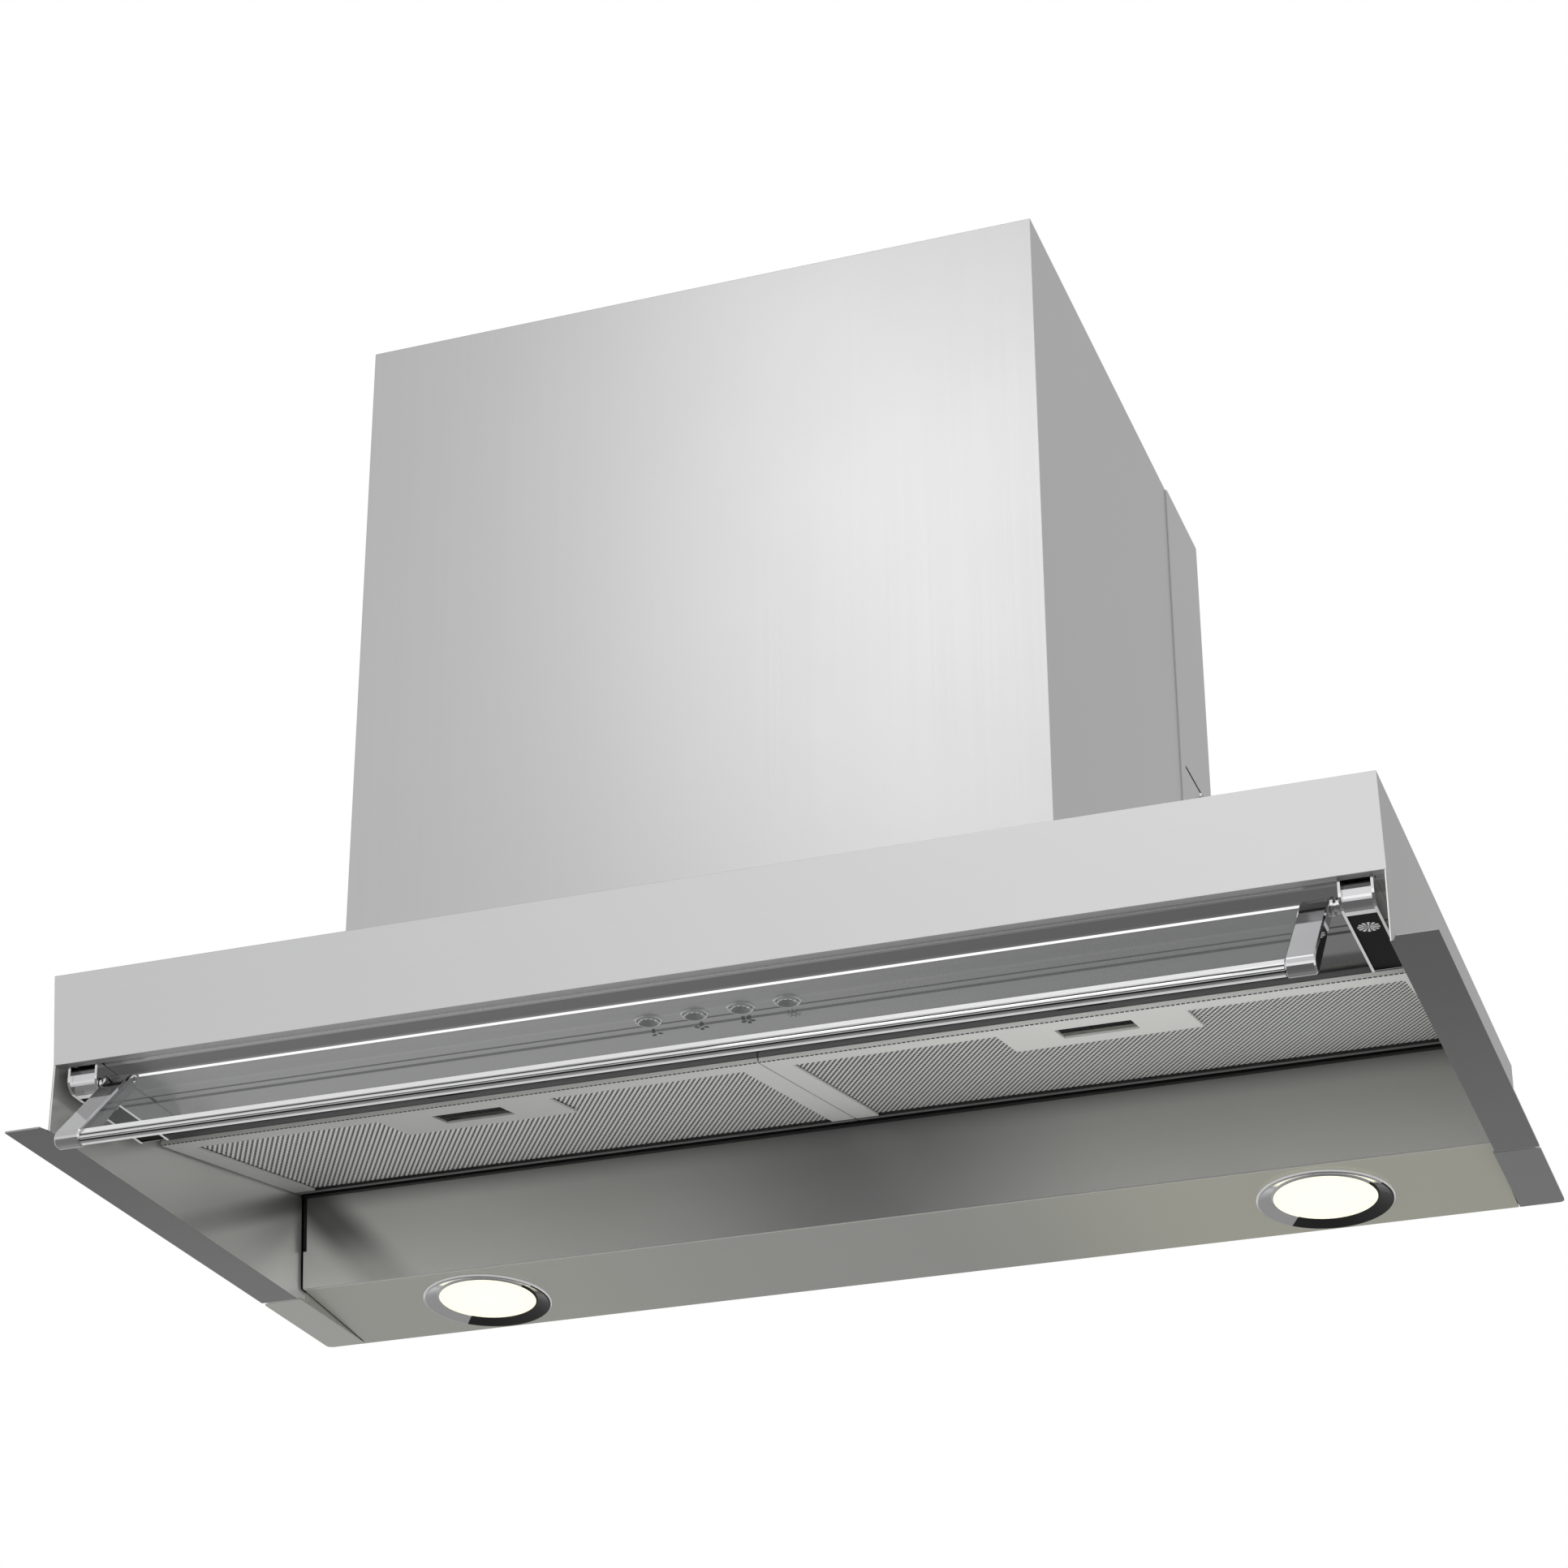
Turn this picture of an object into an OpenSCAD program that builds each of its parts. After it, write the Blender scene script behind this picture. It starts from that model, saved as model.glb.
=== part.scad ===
/* [Canopy] */
// Width over the outer faces of the side walls
canopy_w = 562; // [540:2:700]
// Depth from the front plane to the outer face of the back wall
canopy_d = 305; // [270:1:330]
// Height from the underside of the side flanges to the top plate
canopy_h = 68; // [66:1:80]
// Thickness of the sheet steel
sheet = 0.8; // [0.6:0.1:1]
// Width of the side flanges that cover the cabinet's lower edges
flange_w = 18; // [14:1:22]
// How far the side flanges reach in front of the front plane
flange_nose = 4; // [2:0.5:6]
// Joint between a side flange and its corner plate
flange_joint = 1.2; // [0.8:0.1:2]
// Width of the folds that stiffen and join the sheets
fold_w = 10; // [8:1:11]
// Distance between the shelf screws, side to side
fixing_dx = 500; // [440:10:520]
// Distance between the shelf screws, front to back
fixing_dy = 100; // [80:5:110]
// Diameter of the shelf screw holes
fixing_d = 4.5; // [4:0.1:5.5]

/* [Fascia] */
// Height of the stainless fascia
fascia_h = 38.6; // [37:0.2:40]
// How far the top edge of the fascia leans forward
fascia_lean = 5.4; // [3:0.2:8]
// Depth of the hem under the fascia
hem_d = 4.2; // [3:0.1:4.4]

/* [Control panel] */
// Height of the panel's underside above the fascia's lower edge
panel_rise = 0.6; // [0.3:0.1:1]
// Depth of the panel, as a share of the canopy's depth
panel_d_share = 0.28852; // [0.28:0.0005:0.3]
// Outer radius of the bend at the panel's front
panel_bend_r = 6; // [4:0.5:7]
// Distance from the front plane to the pressed groove
groove_y = 47.4; // [47.4:0.2:56]
// Width of the pressed groove
groove_w = 6.2; // [4:0.2:8]
// Depth of the pressed groove
groove_h = 0.5; // [0.3:0.1:0.8]
// Distance from the front plane to the row of buttons
button_y = 41.4; // [36:0.2:41.4]
// Distance between neighbouring buttons
button_dx = 20; // [16:0.5:26]
// Diameter of a button
button_d = 8.8; // [8:0.1:9.6]
// Width of the ring round a button
ring_w = 1.5; // [1.2:0.1:1.5]
// How far a button stands below the panel
button_proud = 1.3; // [1:0.1:1.8]
// Travel of a button
button_travel = 1.8; // [1:0.1:2.2]

/* [Visor] */
// Angle of the open arms, forward of straight down
open_angle = 44.4; // [35:0.2:50]
// Reach from the hinge axis to the tip of an arm
visor_reach = 57.6; // [50:0.2:60]
// Width of an arm
arm_w = 11.5; // [9:0.5:13]
// Thickness of an arm
arm_t = 6.5; // [6:0.1:7]
// Radius of the rounded tip of an arm
nose_r = 3.9; // [3.6:0.1:4.2]
// Thickness of the glass
glass_t = 4; // [3:0.1:4.2]
// How far the glass reaches past the hinge axis
glass_top = 4.3; // [3:0.1:4.8]
// Distance from the front plane to the hinge axis
pivot_y = 8; // [7:0.2:9]
// Distance from the panel's underside down to the hinge axis
pivot_drop = 9; // [8.4:0.1:9.6]
// Radius of a hinge pin
pin_r = 1.6; // [1.3:0.1:1.7]
// Radius of the collars on a hinge pin
pin_collar_r = 3.8; // [3.2:0.1:3.9]
// Clear width between an arm and its bracket
hinge_gap = 3.7; // [3:0.1:5]
// Width of a hinge bracket
bracket_w = 13.7; // [12:0.1:16]
// Height of a hinge bracket
bracket_h = 12.2; // [12:0.1:13]
// Distance from a bracket to the inside of the side wall
bracket_side_gap = 4.8; // [3:0.1:8]
// Length of a bracket's flat underside, as a share of the panel's depth
bracket_len_share = 0.6364; // [0.55:0.0005:0.66]
// Thickness of the cheeks of a bracket
cheek_t = 1.1; // [0.8:0.1:1.4]

/* [Filters] */
// Length of a filter along its slope, as a share of the canopy's depth
filter_len_share = 0.44426; // [0.42:0.0005:0.446]
// Thickness of a filter
filter_t = 9; // [8:0.5:10]
// Slope of the filters, rising to the back
filter_tilt = 10; // [8:0.5:10]
// Distance from the panel's underside down to a filter's front edge
filter_drop = 4.2; // [3.5:0.1:5]
// Thickness of a filter's aluminium frame
filter_wall = 1; // [0.8:0.1:1.2]
// Border of the frame along the sides
side_border = 10.5; // [8:0.5:14]
// Border of the frame along the front
front_border = 12.6; // [10:0.2:14]
// Border of the frame along the back
rear_border = 4.6; // [3.6:0.2:8]
// Gap between the two filters
filter_mid_gap = 0.8; // [0.6:0.1:1.6]
// Width of the plain plate round the latch
latch_plate_w = 80; // [70:1:100]
// Length of the plain plate, back from the front border
latch_plate_len = 31.6; // [30:0.2:36]
// Width of the latch slot
slot_w = 32.4; // [30:0.2:36]
// Length of the latch slot
slot_len = 17; // [16.4:0.2:19]
// Travel of a latch
latch_travel = 5; // [4:0.2:5.6]
// Length of a diamond in the filter mesh
diamond_w = 18; // [16:0.5:22]
// Height of a diamond in the filter mesh
diamond_h = 11.5; // [10:0.5:13]
// Width of the strands between the diamonds
strand_w = 2.2; // [2:0.1:2.6]

/* [Back of the canopy] */
// Gap from the filters to the baffle wall
baffle_gap = 4.5; // [4.2:0.1:6]
// How far the foot of the baffle wall stands behind its top
baffle_lean = 4.1; // [2:0.1:5]
// Height of the crease where the light panel meets the baffle wall
crease_h = 5.3; // [4:0.1:8]
// Distance from the light panel's back edge to the canopy's back
panel_back_gap = 3.2; // [2:0.1:4]
// Clearance at each end of the baffle wall and the light panel
end_gap = 1.4; // [0.8:0.1:2]

/* [Lamps] */
// Distance from the middle to a lamp
lamp_x = 200; // [180:1:220]
// Distance from the light panel's back edge to a lamp, as a share of the panel's depth
lamp_back_share = 0.48988; // [0.48:0.001:0.51]
// Outer diameter of a lamp trim, as a share of the light panel's depth
trim_share = 0.88411; // [0.84:0.001:0.9]
// Diameter of a lamp lens, as a share of its trim
lens_share = 0.7541; // [0.69:0.001:0.77]
// Depth of the lamp body above the light panel
lamp_depth = 15; // [12:0.5:18]

/* [Motor housing] */
// Width of the motor housing
housing_w = 304.4; // [280:0.4:330]
// Height of the motor housing above the top plate
housing_h = 290.3; // [260:0.1:340]
// Distance from the front plane to the front of the housing
housing_front = 7.7; // [6:0.1:9]
// Depth of the back cover's wings
cover_wing = 64; // [50:1:80]
// Radius of the back cover's corners
cover_r = 6; // [3:0.5:10]
// Height of the slit in the back cover's wings, as a share of the housing's height
slit_share = 0.5012; // [0.4:0.001:0.6]
// Width of the slit
slit_w = 1.4; // [1:0.1:2]
// Distance from the cover's front edge to the slit
slit_front = 7.5; // [6:0.5:12]

/* [Outlet] */
// Outer diameter of the outlet collar, for a 150 mm duct, as a share of the impeller's
collar_share = 0.99333; // [0.97:0.001:1]
// Height of the outlet collar
collar_h = 30; // [26:1:40]
// Wall of the outlet collar
collar_wall = 2; // [1.6:0.1:2.4]
// Width of the collar's base flange
collar_flange = 9; // [8:0.5:11]
// Radius of the damper pin
damper_pin_r = 1.5; // [1.3:0.1:1.8]
// Thickness of a damper flap
flap_t = 1.4; // [1.2:0.1:1.6]
// Height of the damper's pin above the housing
damper_lift = 9; // [8.6:0.1:10]

/* [Blower] */
// Outer radius of the impeller, as a share of the housing's depth
fan_share = 0.25227; // [0.24:0.001:0.256]
// Width of the impeller
fan_w = 84; // [76:1:88]
// Radial depth of the blades, as a share of the impeller's radius
blade_share = 0.18667; // [0.15:0.001:0.2]
// Number of blades
blade_count = 36; // [30:1:40]
// How far a blade curves forward, in degrees
blade_sweep = 11; // [6:0.5:12]
// Thickness of a blade
blade_t = 1.1; // [0.9:0.1:1.3]
// Gap between the impeller and the scroll's tongue, as a share of the impeller's radius
tongue_share = 0.10667; // [0.08:0.001:0.13]
// Growth of the scroll from its tongue to its outlet, as a share of the impeller's radius
growth_share = 0.62667; // [0.58:0.001:0.66]
// Width of the scroll
scroll_w = 100; // [100:1:106]
// Wall of the scroll
scroll_wall = 2; // [1.6:0.1:2.4]
// Gap between the top plate and the scroll
scroll_lift = 14.1; // [12:0.1:18]
// Gap between the scroll's outlet and the top of the housing
outlet_drop = 28.3; // [24:0.1:34]
// Radius of the motor, as a share of the impeller's
motor_share = 0.56; // [0.5:0.01:0.6]
// Length of the motor
motor_len = 50; // [48:1:52]
// Radius of the motor shaft
shaft_r = 4; // [3.5:0.1:4.5]

/* [Hidden] */

$fn = 64;
// Facets of the hulls' children
hull_fn = 32;
// Overrun of a cut past the face it opens
over = 1;
// Gap left between pieces that sit against each other without touching
seat = 0.1;
// Clearance of a piece that moves past another
slip = 0.3;
// Open joint between the baffle wall and the light panel
crease_gap = 0.5;
// Radial clearance of a running pin
run = 0.05;
// Radial clearance of a piece pressed into its seat
press = 0.02;
sides = [-1, 1];

// Reference planes: the origin is the middle of the shelf screws, on the top plate
front_y = -canopy_d/2;
back_y = canopy_d/2;
base_z = -canopy_h;
wall_x = canopy_w/2;
inner_x = wall_x - sheet;

// A point of the side view, from its distance behind the front plane and above the flanges
function at(y, z) = [front_y + y, base_z + z];

// Fascia and control panel
panel_d = canopy_d*panel_d_share;
fascia_z = canopy_h - fascia_h;
panel_z = fascia_z + panel_rise;
panel_front = hem_d + seat;

// Visor
pivot_z = panel_z - pivot_drop;
bracket_x1 = inner_x - bracket_side_gap;
bracket_x0 = bracket_x1 - bracket_w;
arm_x1 = bracket_x0 - hinge_gap;
arm_x0 = arm_x1 - arm_w;
bracket_z = panel_z - bracket_h;
bracket_nose_y = pivot_y - bracket_h*0.44;
bracket_flat_y = pivot_y + pin_r + cheek_t;
bracket_len = panel_d*bracket_len_share;
bracket_back_y = bracket_flat_y + bracket_len;

// Filters
filter_len = canopy_d*filter_len_share;
filter_y = panel_d + filter_t*sin(filter_tilt) + slip;
filter_z = panel_z - filter_drop;
filter_w = inner_x - end_gap - filter_mid_gap/2;
filter_mid = filter_w/2;
filter_back_y = filter_y + filter_len*cos(filter_tilt);
filter_back_z = filter_z + filter_len*sin(filter_tilt);
tab_z = filter_wall*1.2;
tab_len = baffle_gap - 1.2*sheet - slip;
tab_w = 16;
tab_x_share = 0.22;

// Back of the canopy
baffle_y = filter_back_y + baffle_gap;
crease_y = baffle_y + baffle_lean;
light_front = crease_y + sheet + crease_gap;
light_back = canopy_d - panel_back_gap;
light_d = light_back - light_front;
light_tilt = atan(crease_h/light_d);
light_half = inner_x - end_gap;
lamp_y = light_back - light_d*lamp_back_share;
lamp_z = crease_h*lamp_back_share;
trim_d = light_d*trim_share;
lens_d = trim_d*lens_share;
joint_y = baffle_y + baffle_lean*0.6;

// Motor housing, with heights above the top plate
housing_x = housing_w/2;
housing_y = front_y + housing_front;
housing_in_x = housing_x - sheet;
seam_y = back_y - cover_wing;
slit_z = housing_h*slit_share;
lap = 8;

// Blower
turn = 360;
tongue_a = 60;
spiral_steps = 30;
fan_r = (canopy_d - housing_front)*fan_share;
blade_d = fan_r*blade_share;
spiral_r0 = fan_r*(1 + tongue_share);
function spiral_r(a) = spiral_r0 + fan_r*growth_share*(a - tongue_a)/(turn - tongue_a);
tongue_y = spiral_r0*cos(tongue_a);
scroll_gap = 8;
fan_y = housing_y + sheet + scroll_gap + scroll_wall + spiral_r(turn/2);
fan_z = scroll_lift + scroll_wall + spiral_r(turn*3/4);
outlet_z = housing_h - outlet_drop;
outlet_out = spiral_r(turn);
outlet_y = fan_y + (tongue_y + outlet_out)/2;
bell_r = 6;
inlet_r = fan_r - blade_d - scroll_wall;
top_under = housing_h - sheet;
collar_r = fan_r*collar_share;
collar_in = collar_r - collar_wall;
collar_base = 2;
pin_z = housing_h + damper_lift;

// Draws a side view and stretches it along X, centred on x = 0
module along_x(length) {
    rotate([90, 0, 90]) linear_extrude(length, center = true) children();
}

// Draws a side view and stretches it from x0 to x1
module across(x0, x1) {
    translate([(x0 + x1)/2, 0, 0]) along_x(abs(x1 - x0)) children();
}

function unit(v) = v/norm(v);
function left_of(v) = [-v[1], v[0]];
function mitre(p, i) =
    let(n = len(p))
    let(a = i > 0 ? unit(p[i] - p[i - 1]) : unit(p[1] - p[0]))
    let(b = i < n - 1 ? unit(p[i + 1] - p[i]) : unit(p[n - 1] - p[n - 2]))
    let(m = left_of(a) + left_of(b))
    m/(m*left_of(a));

// Outline of a sheet bent along a path, with its thickness to the left of the path
module bent_sheet(path, t) {
    n = len(path);
    polygon(concat(path, [for (i = [n - 1:-1:0]) path[i] + t*mitre(path, i)]));
}

function arc_points(c, r, a0, a1, n) =
    [for (i = [0:n]) c + r*[cos(a0 + (a1 - a0)*i/n), sin(a0 + (a1 - a0)*i/n)]];

// Turns what is drawn along Z to run along X
module to_x() { rotate([0, 90, 0]) children(); }

// Canopy: top plate, side walls with their flanges, and back wall

// Distance from the housing's faces to the edge of the opening under it
opening_inset = 14;
// Chamfer at the inner front corner of a flange
flange_chamfer = 2;
// Gap under the back wall
back_wall_z = 2.6;
// Front edge of the top plate, behind the fascia
top_front = sheet + 2*seat - fascia_lean;

module side_wall() {
    polygon([at(0, 0), at(0, fascia_z), at(hem_d + seat, fascia_z),
        at(hem_d + seat, fascia_z + sheet + seat), at(sheet + 2*seat, fascia_z + sheet + seat),
        at(top_front, canopy_h), at(canopy_d, canopy_h),
        at(canopy_d, back_wall_z), at(canopy_d - sheet, back_wall_z), at(canopy_d - sheet, sheet),
        at(joint_y, sheet), at(joint_y, 0)]);
}

module side_flange() {
    translate([0, 0, base_z]) linear_extrude(sheet)
        polygon([[inner_x, front_y + flange_chamfer], [wall_x, front_y + flange_chamfer],
            [wall_x + flange_chamfer, front_y - flange_nose],
            [wall_x + flange_w, front_y - flange_nose],
            [wall_x + flange_w, front_y + joint_y], [inner_x, front_y + joint_y]]);
}

module canopy_shell() {
    color([0.66, 0.66, 0.66])
    difference() {
        union() {
            translate([-wall_x, front_y + top_front, -sheet])
                cube([canopy_w, canopy_d - top_front, sheet]);
            translate([-wall_x, back_y - sheet, base_z + back_wall_z])
                cube([canopy_w, sheet, canopy_h - back_wall_z]);
            for (s = sides) {
                across(s*inner_x, s*wall_x) side_wall();
                mirror([s < 0 ? 1 : 0, 0, 0]) side_flange();
            }
        }
        translate([-housing_x + opening_inset, housing_y + opening_inset, -sheet - over])
            cube([housing_w - 2*opening_inset, back_y - housing_y - 2*opening_inset, sheet + 2*over]);
        for (sx = sides, sy = sides)
            translate([sx*fixing_dx/2, sy*fixing_dy/2, -sheet - over])
                cylinder(d = fixing_d, h = sheet + 2*over);
    }
}

module fascia() {
    color([0.85, 0.85, 0.86]) {
        along_x(canopy_w)
            bent_sheet([at(hem_d, fascia_z), at(0, fascia_z), at(-fascia_lean, canopy_h)], -sheet);
        along_x(2*(inner_x - seat))
            translate(at(sheet/2 - fascia_lean, canopy_h - 2*sheet)) square([fold_w, sheet]);
    }
}

module corner_plates() {
    color([0.7, 0.7, 0.69])
    for (s = sides) mirror([s < 0 ? 1 : 0, 0, 0]) {
        corner_r = flange_chamfer + sheet;
        x0 = inner_x - sheet - seat;
        translate([0, 0, base_z]) linear_extrude(sheet)
            polygon(concat([[x0, front_y + light_back], [x0, front_y + joint_y + flange_joint]],
                arc_points([wall_x + flange_w - corner_r, front_y + joint_y + flange_joint + corner_r],
                    corner_r, -90, 0, 5),
                arc_points([wall_x + flange_w - corner_r, front_y + light_back - corner_r],
                    corner_r, 0, 90, 5)));
        translate([x0, front_y + light_front + fold_w/2, base_z])
            cube([sheet, light_back - light_front - fold_w, fold_w]);
    }
}

// Control panel, with its switches and buttons

ring_r = button_d/2 + ring_w;
ring_cover = 0.5;
button_hole_r = ring_r - ring_cover;
sleeve_h = 2*sheet;
button_cap_h = 7;
stem_r = 2;
stem_z = 14;
switch_h = 9;
switch_w = 8;
switch_bore_depth = 5;
board_t = 1.6;
board_z = panel_z + stem_z + switch_h - switch_bore_depth;
board_margin = 11;
cover_wall = 1.6;
button_x = [for (i = [-1.5:1:1.5]) i*button_dx];

module at_button(i) { translate([button_x[i], front_y + button_y, base_z + panel_z]) children(); }

module control_panel() {
    color([0.56, 0.56, 0.57])
    difference() {
        along_x(2*(inner_x - seat)) bent_sheet(concat(
            [at(panel_front, panel_z + panel_bend_r + fold_w/2)],
            arc_points(at(panel_front + panel_bend_r, panel_z + panel_bend_r), panel_bend_r, 180, 270, 6),
            [at(groove_y, panel_z), at(groove_y + groove_h, panel_z + groove_h),
                at(groove_y + groove_w - groove_h, panel_z + groove_h), at(groove_y + groove_w, panel_z),
                at(panel_d, panel_z), at(panel_d, panel_z + fold_w)]), sheet);
        for (i = [0:3]) at_button(i) translate([0, 0, -over])
            cylinder(r = button_hole_r, h = sheet + 2*over);
        for (s = sides)
            translate([s*(bracket_x0 + bracket_x1)/2, front_y + bracket_screw_y, base_z + panel_z - over])
                cylinder(r = bracket_screw_r/2, h = sheet + 2*over);
    }
}

module button_rings() {
    color([0.82, 0.82, 0.82])
    for (i = [0:3]) at_button(i) rotate_extrude()
        polygon([[button_d/2 + slip, -sheet*0.6], [button_d/2 + slip + ring_w*0.2, -sheet],
            [ring_r - ring_cover, -sheet], [ring_r, -sheet*0.4], [ring_r, 0],
            [button_hole_r - press, 0], [button_hole_r - press, sleeve_h],
            [button_d/2 + slip, sleeve_h]]);
}

// Draws one button: a faceted dish below, a retaining collar and the stem above
module button(i) {
    dish_r = button_d/2 - sheet/2;
    color([0.75, 0.75, 0.76])
    at_button(i) difference() {
        union() {
            translate([0, 0, -button_proud]) cylinder(d = button_d, h = button_cap_h + button_proud);
            translate([0, 0, sleeve_h + seat]) cylinder(r = button_hole_r, h = sheet);
            cylinder(r = stem_r, h = stem_z);
        }
        translate([0, 0, -button_proud - over])
            cylinder(r1 = dish_r*(1 + over/button_travel), r2 = 0, h = button_travel + over, $fn = 12);
    }
}

module button_speed_low() { button(0); }
module button_speed_mid() { button(1); }
module button_speed_high() { button(2); }
module button_lamp() { button(3); }

module push_switches() {
    color([0.12, 0.12, 0.13])
    for (i = [0:3]) at_button(i) difference() {
        translate([-switch_w/2, -switch_w/2, stem_z - switch_bore_depth])
            cube([switch_w, switch_w, switch_h]);
        translate([0, 0, stem_z - switch_bore_depth - over])
            cylinder(r = stem_r + slip, h = switch_bore_depth + button_travel + over + seat);
    }
}

module switch_board() {
    color([0.1, 0.35, 0.18])
    translate([button_x[0] - board_margin, front_y + button_y - board_margin, base_z + board_z])
        cube([button_x[3] - button_x[0] + 2*board_margin, 2*board_margin, board_t]);
}

module switch_cover() {
    length = button_x[3] - button_x[0] + 2*(board_margin + cover_wall + slip);
    depth = 2*(board_margin + cover_wall + slip);
    floor_z = base_z + panel_z + groove_h + sheet;
    height = board_z + board_t + cover_wall + sheet - panel_z - groove_h - sheet;
    color([0.2, 0.2, 0.21])
    translate([0, front_y + button_y, floor_z]) difference() {
        translate([-length/2, -depth/2, 0]) cube([length, depth, height]);
        translate([-length/2 + cover_wall, -depth/2 + cover_wall, -over])
            cube([length - 2*cover_wall, depth - 2*cover_wall, height - cover_wall + over - slip]);
        for (s = sides) translate([s*(length/2 - cover_wall/2), 0, 0])
            cube([cover_wall + over, board_margin, 2*fold_w/3], center = true);
    }
}

// Baffle wall, filter rail and light panel

module baffle_wall() {
    color([0.6, 0.6, 0.57])
    along_x(2*light_half) bent_sheet([at(crease_y, crease_h), at(baffle_y, filter_back_z),
        at(baffle_y, canopy_h - sheet), at(baffle_y + fold_w, canopy_h - sheet)], -sheet);
}

// Lip that carries the filters' tabs, standing off the baffle wall
lip_front = filter_back_y + 1.5*filter_wall;
lip_z = filter_back_z + tab_z - sheet/2;
module filter_rail() {
    leg_y = baffle_y - seat - sheet;
    color([0.62, 0.62, 0.6])
    along_x(2*light_half) bent_sheet([at(leg_y, lip_z + fold_w/2), at(leg_y, lip_z - sheet),
        at(lip_front, lip_z - sheet)], sheet);
}

module at_lamp(s) {
    translate([s*lamp_x, front_y + lamp_y, base_z + lamp_z]) rotate([-light_tilt, 0, 0]) children();
}

trim_t = 1.6;
// Width of the lips on each side of the trim's hollow ring
trim_lip = 0.4;
trim_sleeve_r = trim_d/2 - 2*trim_t;
trim_hole_r = trim_sleeve_r + slip;
light_fold = 12;

module light_panel() {
    color([0.62, 0.62, 0.58])
    difference() {
        along_x(2*light_half) bent_sheet([at(light_front, crease_h + light_fold), at(light_front, crease_h),
            at(light_back, 0), at(light_back, light_fold)], sheet);
        for (s = sides) at_lamp(s) translate([0, 0, -over])
            cylinder(r = trim_hole_r, h = sheet + 2*over);
    }
}

module lamp_trims() {
    color([0.6, 0.6, 0.6])
    for (s = sides) at_lamp(s) rotate_extrude()
        polygon([[lens_d/2, 0], [lens_d/2 + trim_lip, 0], [lens_d/2 + 2*trim_lip, trim_lip],
            [trim_d/2 - 3*trim_lip, -trim_t], [trim_d/2 - 2*trim_lip, -trim_t],
            [trim_d/2, -trim_t/2], [trim_d/2, -seat/2], [trim_sleeve_r, -seat/2],
            [trim_sleeve_r, lamp_depth/2], [trim_sleeve_r - trim_t, lamp_depth/2],
            [trim_sleeve_r - trim_t, trim_t], [lens_d/2, trim_t]]);
}

module lamp_lenses() {
    color([1, 0.98, 0.9])
    for (s = sides) at_lamp(s) translate([0, 0, trim_lip/2])
        cylinder(d = lens_d - seat, h = trim_t - trim_lip/2);
}

lamp_body_r = trim_sleeve_r - trim_t - seat;
module lamp_bodies() {
    fins = 5;
    color([0.3, 0.3, 0.31])
    for (s = sides) at_lamp(s) difference() {
        translate([0, 0, trim_t + seat]) cylinder(r = lamp_body_r, h = lamp_depth - trim_t);
        for (i = [0:fins - 1])
            translate([-lamp_body_r, (i - (fins - 1)/2)*lamp_body_r/fins*1.6 - trim_t, lamp_depth*0.6])
                cube([2*lamp_body_r, 2*trim_t, lamp_depth]);
    }
}

spring_t = 0.5;
spring_w = 8;
module lamp_springs() {
    foot = 11;
    color([0.8, 0.8, 0.82])
    for (s = sides) at_lamp(s) for (k = sides) mirror([k < 0 ? 1 : 0, 0, 0])
        translate([trim_sleeve_r + press, 0, 0]) rotate([90, 0, 0])
            linear_extrude(spring_w, center = true)
                bent_sheet([[foot, sheet + trim_t*0.7], [foot*0.8, sheet + seat/2],
                    [spring_t*3, lamp_depth*0.4], [spring_t, lamp_depth*0.4],
                    [spring_t, sheet + slip]], -spring_t);
}

module lamp_driver() {
    driver_w = 92;
    driver_share = 0.52;
    driver_d = light_d*driver_share;
    driver_h = 21;
    ear = 8;
    mid_y = (light_front + light_back)/2;
    mid_z = crease_h/2;
    color([0.9, 0.9, 0.88])
    translate([0, front_y + mid_y, base_z + mid_z + sheet]) rotate([-light_tilt, 0, 0]) {
        translate([0, 0, driver_h/2 + seat/2]) cube([driver_w, driver_d, driver_h], center = true);
        translate([-driver_w/2 - ear, -driver_d/4, seat/2]) cube([driver_w + 2*ear, driver_d/2, sheet*2]);
    }
}

// Hinge brackets: a chromed block with a rounded nose between two cheeks

cover_recess = 0.7;
cheek_nose_r = bracket_h*0.47;
// The block's nose: a band set back from the cheeks, rounded down to the flat underside
band_y = bracket_nose_y + 2.2*cheek_t;
band_r = bracket_h*0.42;
band_z1 = pivot_z + pin_r + 3*cheek_t;
band_step = 1.6*cheek_t;

module cheek_outline() {
    polygon(concat([at(bracket_nose_y, fascia_z - seat)],
        arc_points(at(bracket_nose_y + cheek_nose_r, bracket_z + cheek_nose_r), cheek_nose_r, 180, 270, 6),
        [at(bracket_back_y, bracket_z), at(bracket_back_y + bracket_h, panel_z - seat),
            at(hem_d + seat, panel_z - seat), at(hem_d + seat, fascia_z - seat)]));
}

module block_outline() {
    polygon(concat([at(band_y, band_z1), at(band_y + band_step, band_z1),
        at(band_y + band_step, panel_z - seat), at(bracket_back_y + bracket_h - cheek_t, panel_z - seat),
        at(bracket_back_y - cheek_t, bracket_z)],
        arc_points(at(band_y + band_r, bracket_z + band_r), band_r, 270, 180, 8)));
}

bracket_screw_share = 0.3125;
bracket_screw_y = pivot_y + bracket_len*bracket_screw_share;
bracket_screw_r = 4.3;

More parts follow.
